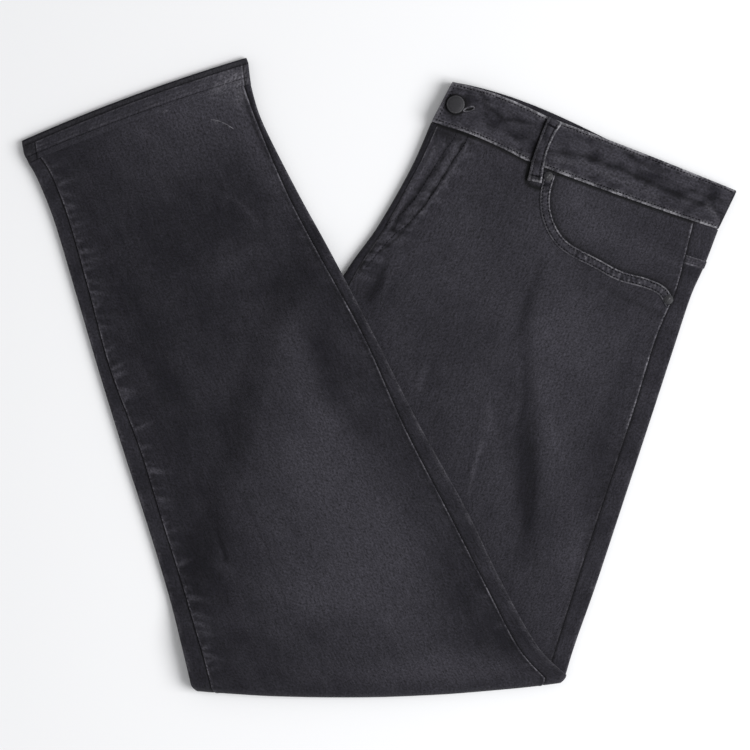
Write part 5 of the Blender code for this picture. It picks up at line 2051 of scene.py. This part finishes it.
    def buttonhole_path(self, surface: Surface) -> Array:
        """The line of the keyhole's edge, which shows beside the button."""
        start, end = (np.array(point) for point in self.buttonhole)
        centre, reach = (start + end) / 2, float(np.hypot(*(end - start))) / 2
        along = (end - start) / (2.0 * reach)
        down = np.array((along[1], -along[0]))
        angle = np.linspace(-math.pi, math.pi, 40)
        long = reach * np.cos(angle)
        short = 1.7 * np.sin(angle) * (1.0 + 0.25 * np.cos(angle))
        return surface.laid(centre + np.outer(long, along) + np.outer(short, down), 0.15)


# The hems


@dataclass
class Hems:
    """Each ankle's turned hem, a flattened tube, the right leg's above the left leg's."""

    finishes: Wardrobe
    wall_thickness: float = 2.05
    depth: float = 20.0
    edge_step: float = 5.0
    even_columns: int = 84
    arc_steps: int = 7
    rows: int = 22
    stitch_at: float = 0.36
    base_fade: float = 0.20
    flat_size: Pair = (0.43, 0.021)

    def columns(self, section: Section, start: float, end: float) -> Array:
        """Distances across the hem, close together at its two seams."""
        seams = (section.left_seam, section.width - section.right_seam)
        beside = (-2.0, -1.2, -0.6, -0.2, 0.2, 0.6, 1.1, 1.8, 2.8, 4.0)
        every = [seam + away * (1.0 if seam < 50.0 else -1.0) for seam in seams for away in beside]
        every += list(np.linspace(start, end, self.even_columns))
        return np.clip(np.sort(every), start, end)

    def ring(
        self,
        section: Section,
        band: Pair,
        inset: float,
        share: float,
        short: float,
        front: bool,
    ) -> Array:
        """One ring of points.

        Args:
            section: The section that it lies in.
            band: Its least and its greatest depth.
            inset: How far inside the outer face it lies.
            share: How far along the hem it is, from the leg to the open edge.
            short: How far its front half stops short.
            front: Whether it is the upper hem's outer face, which has the front's relief.

        Returns:
            The ring's points.
        """
        low, high = band
        top, bottom = low + inset, high - inset
        radius, centre = (bottom - top) / 2, (top + bottom) / 2
        ease = 2.6 * (1.0 - smoothstep(share / 0.6))
        left, right = inset + radius + ease, section.width - inset - radius
        turns = math.pi * np.arange(1, self.arc_steps) / self.arc_steps
        across = self.columns(section, left, right)
        lift = self.relief(section, across, share) if front else np.zeros(len(across))
        rounds = (right + radius * np.sin(turns), left - radius * np.sin(turns))
        distance = np.concatenate((across, rounds[0], across[::-1], rounds[1]))
        down = (centre - radius * np.cos(turns), centre + radius * np.cos(turns))
        depth = np.concatenate((top - lift, down[0], np.full(len(across), bottom), down[1]))
        points = Station(section, Run.LEG, math.pi).place(distance, depth)
        shown = 1.0 - (depth - low) / (high - low)
        points[:, :2] += np.outer(short * smoothstep(2.0 * shown - 0.5), section.down)
        return points

    def inside(self, section: Section, across: Array) -> Array:
        """How far inside the front's two seams each distance lies."""
        return np.minimum(across - section.left_seam, section.width - section.right_seam - across)

    def relief(self, section: Section, across: Array, share: float) -> Array:
        """How far the front stands proud at distances across it."""
        inside = self.inside(section, across)
        rolls = np.where(inside >= 0.0, roll_of(np.maximum(inside, 0.0)), -0.5 * bump(inside, 1.3))
        rope = np.sin(across / 4.3 + 7.0 * share + np.sin(across / 19.0))
        rope = rope + 0.7 * np.sin(across / 2.1 - 5.0 * share)
        along = self.depth * (share - self.stitch_at)
        seam = -0.42 * bump(along, 0.7) + 0.20 * bump(along - 2.6, 1.4) * (1.0 + 0.5 * rope)
        return rolls + 0.20 * rope * math.sin(math.pi * share) ** 0.5 + seam

    def build(self, name: str, node: str, upper: bool) -> Object:
        """One hem."""
        rows = Rows()
        beside = self.stitch_at + np.array((-0.05, -0.025, 0.0, 0.025, 0.05))
        shares = (np.linspace(0.0, 0.9, self.rows), beside, (0.94, 0.965, 0.985, 1.0))
        for share in np.sort(np.concatenate(shares)):
            section = between(HEM, share)
            half = (section.stack - GAP) / 2
            low = 0.0 if upper else half + GAP
            thin = 0.5 * (1.0 - smoothstep((1.0 - share) * self.depth / 1.3))
            sunk = 0.2 * (1.0 - smoothstep(share / 0.4)) if upper else 0.0
            short = self.edge_step * share * (1.0 if upper else -0.3)
            skin = (low + thin * 0.6 + sunk, low + half - thin * 0.6)
            outer = self.ring(section, skin, 0.0, share, short, upper)
            inner = self.ring(section, (low, low + half), self.wall_thickness - thin, share, short, False)
            across = self.columns(section, half / 2, section.width - half / 2)
            inside = self.inside(section, across)
            along = self.depth * (share - self.stitch_at)
            ragged = 0.6 + 0.4 * np.sin(across / 3.1 + 4.0 * share) * np.sin(across / 11.0)
            rub = 0.55 * bump((1.0 - share) * self.depth - 0.5, 0.8) + 0.45 * bump(inside - 0.6, 0.6)
            rub = ragged * (rub + 0.34 * bump(along - 2.4, 1.0) + 0.22 * bump(along - 6.6, 0.9))
            # Painted shade in the stitch line's furrow, in the grooves at the seams and on the strips beyond
            # them.
            shade = 0.25 * bump(along, 0.7) + 0.4 * bump(inside + 0.6, 0.6) + 0.45 * (inside < -0.4)
            marks = marks_of(LEG_STROKES, outer[:, :2])
            wear, grime = np.zeros(len(outer)), np.zeros(len(outer))
            if upper:
                wear[: len(across)] = rub + marks[2, : len(across)]
                grime[: len(across)] = shade + marks[3, : len(across)]
            fade = self.base_fade + fade_of(LEG_PATCHES, outer[:, :2]) + marks[1]
            rows.add(outer, inner, fade, wear, grime)
        item = tube(name, rows.grids(), self.finishes.denim, self.finishes.inside)
        return lay(item, node)

    def stitch_row(self, surface: Surface) -> Array:
        """The row of stitches along the right hem's front."""
        section = between(HEM, self.stitch_at)
        across = np.arange(4.0, section.width - 3.0, 1.5)
        return surface.laid(section.level(across) + section.down * self.edge_step * self.stitch_at, 0.1)


# The studio


@dataclass(frozen=True)
class Lamp:
    """A soft rectangular light."""

    name: str
    place: Triple
    aim: Triple
    size: float
    power: float
    colour: Triple

    def build(self) -> None:
        """Makes the light."""
        light = bpy.data.lights.new(self.name, "AREA")
        light.shape, light.size = "SQUARE", self.size
        light.energy, light.color = self.power, self.colour
        item = linked(self.name, light)
        item.location = self.place
        item.rotation_euler = (Vector(self.aim) - Vector(self.place)).to_track_quat("-Z", "Y").to_euler()


@dataclass(frozen=True)
class Studio:
    """A pale floor, soft light and the camera above the garment."""

    camera_at: Triple = (-0.00358, 0.00223, 2.4)
    lens: float = 128.0
    floor_side: float = 12.0
    sky: float = 0.485
    lamps: tuple[Lamp, ...] = (Lamp("key", (2.3, -0.5, 2.3), (0.0, 0.0, 0.0), 2.2, 116.0, (1.0, 1.0, 1.0)),)

    def build(self) -> None:
        """Makes the floor, the lamps, an even sky and the camera."""
        self.build_floor()
        for lamp in self.lamps:
            lamp.build()
        world = bpy.data.worlds.new("studio")
        world.use_nodes = True
        background = world.node_tree.nodes["Background"]
        background.inputs["Color"].default_value = (1.0, 1.0, 1.0, 1.0)
        background.inputs["Strength"].default_value = self.sky
        bpy.context.scene.world = world
        bpy.context.scene.view_settings.view_transform = "Standard"
        data = bpy.data.cameras.new("camera")
        data.lens, data.sensor_width = self.lens, 36.0
        camera = linked("camera", data)
        camera.location = self.camera_at
        bpy.context.scene.camera = camera

    def build_floor(self) -> None:
        """A plain pale floor at the surface that the garment lies on."""
        half = self.floor_side / 2
        corners = [(-half, -half, 0.0), (half, -half, 0.0), (half, half, 0.0), (-half, half, 0.0)]
        floor = plain_object("floor", corners, [(0, 1, 2, 3)])
        values = {"Base Color": (0.86, 0.865, 0.88, 1.0), "Roughness": 0.8, "Specular IOR Level": 0.2}
        floor.data.materials.append(MaterialDesk("pale_floor").shade(values))


def edge_strips(finishes: Wardrobe) -> list[EdgeStrip]:
    """The yokes and back panels where they wrap round the edges."""
    above, below = YOKE_SEAM
    step, right, lower = 3.0, Side.RIGHT, Face.LOWER
    yoke = thigh_stations(step, 0.0, above)
    back = thigh_stations(1.0, above + 0.007, above + 0.27) + thigh_stations(step, above + 0.27, 8.0)[1:]
    onward = turn_stations() + leg_stations(step)
    outseam = thigh_stations(6.0, above + 0.007, 8.0) + onward
    inseam = thigh_stations(8.0, CROTCH_ROW + 1.0, 8.0) + onward
    end, left_back, right_back = (0.024, 0.034), "left_back_panel_side", "right_back_panel_side"
    return [
        EdgeStrip("left_yoke_denim", "left_yoke", right, Face.UPPER, yoke, end, finishes, fade=0.3),
        EdgeStrip(
            "left_back_denim", left_back, right, Face.UPPER, back, (0.0195, 0.415), finishes,
            tab=(0.0, 10.5), fade=0.22,
        ),
        EdgeStrip("right_yoke_denim", "right_yoke", right, lower, yoke, end, finishes),
        EdgeStrip("right_back_outseam_denim", right_back, right, lower, outseam, (0.0185, 0.93), finishes),
        EdgeStrip(
            "right_back_inseam_denim", "right_back_panel_inseam", Side.LEFT, lower, inseam,
            (0.0165, 0.76), finishes,
        ),
    ]


def main() -> None:
    """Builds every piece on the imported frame."""
    logging.basicConfig(level=logging.INFO, format="%(name)s: %(message)s")
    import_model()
    finishes = Wardrobe.build()
    HiddenLayers(finishes).build()
    right_front = RightFront(finishes).build()
    for strip in edge_strips(finishes):
        strip.build()
    fly = Fly(finishes)
    fly.build()
    pocket = FrontPocket(finishes, LeftFront(finishes))
    front = pocket.build_front()
    facing = pocket.build_facing()
    band = pocket.build_band(Surface(front))
    waist = Waist(finishes)
    waistband = waist.build_band()
    pocket.build_rivets(Surface(waistband, front, facing, band))
    loop = waist.build_loop(Surface(waistband, front))
    on_band, on_loop = Surface(waistband), Surface(loop)
    waist.build_button(on_band)
    hems = Hems(finishes)
    right_hem = hems.build("right_hem_denim", "right_hem", True)
    hems.build("left_hem_denim", "left_hem", False)
    dots = {"Pitch": 3.0, "Length": 1.9, "Width": 1.15}
    tack = {"Pitch": 0.6, "Length": 0.55, "Width": 2.4}
    fine = {"Pitch": 0.5, "Length": 1.1, "Width": 0.75, "Height": 0.4}
    dark, pale = Sewing(finishes.thread), Sewing(finishes.pale_thread)
    on_hem = [hems.stitch_row(Surface(right_hem))]
    hole = [waist.buttonhole_path(on_band)]
    fibre = [Surface(right_front).laid(polyline(FIBRE, 0.5), 0.1)]
    on_fly = fly.rows(Surface(front, facing))
    seams = (
        (dark, "fly_stitches", "left_front_panel", on_fly, {"Width": 0.7, "Length": 2.6}),
        (dark, "mouth_stitches", "left_pocket_band", pocket.rows(Surface(band)), dots),
        (dark, "waistband_stitches", "waistband", waist.stitch_rows(on_band), dots),
        (dark, "loop_stitches", "belt_loop", waist.loop_stitch_rows(on_loop), {"Pitch": 2.6, "Length": 2.1}),
        (dark, "loop_tacks", "belt_loop", waist.tack_rows(on_loop), tack),
        (dark, "hem_stitches", "right_hem", on_hem, {"Width": 0.4, "Height": 0.35}),
        (pale, "buttonhole_stitches", "waistband", hole, {**tack, "Width": 1.5}),
        (pale, "loose_fibre", "right_front_panel", fibre, fine),
    )
    for thread, name, slot, rows, sizes in seams:
        settle(thread.sew(name, rows, **sizes), slot)
    Studio().build()


if __name__ == "__main__":
    main()
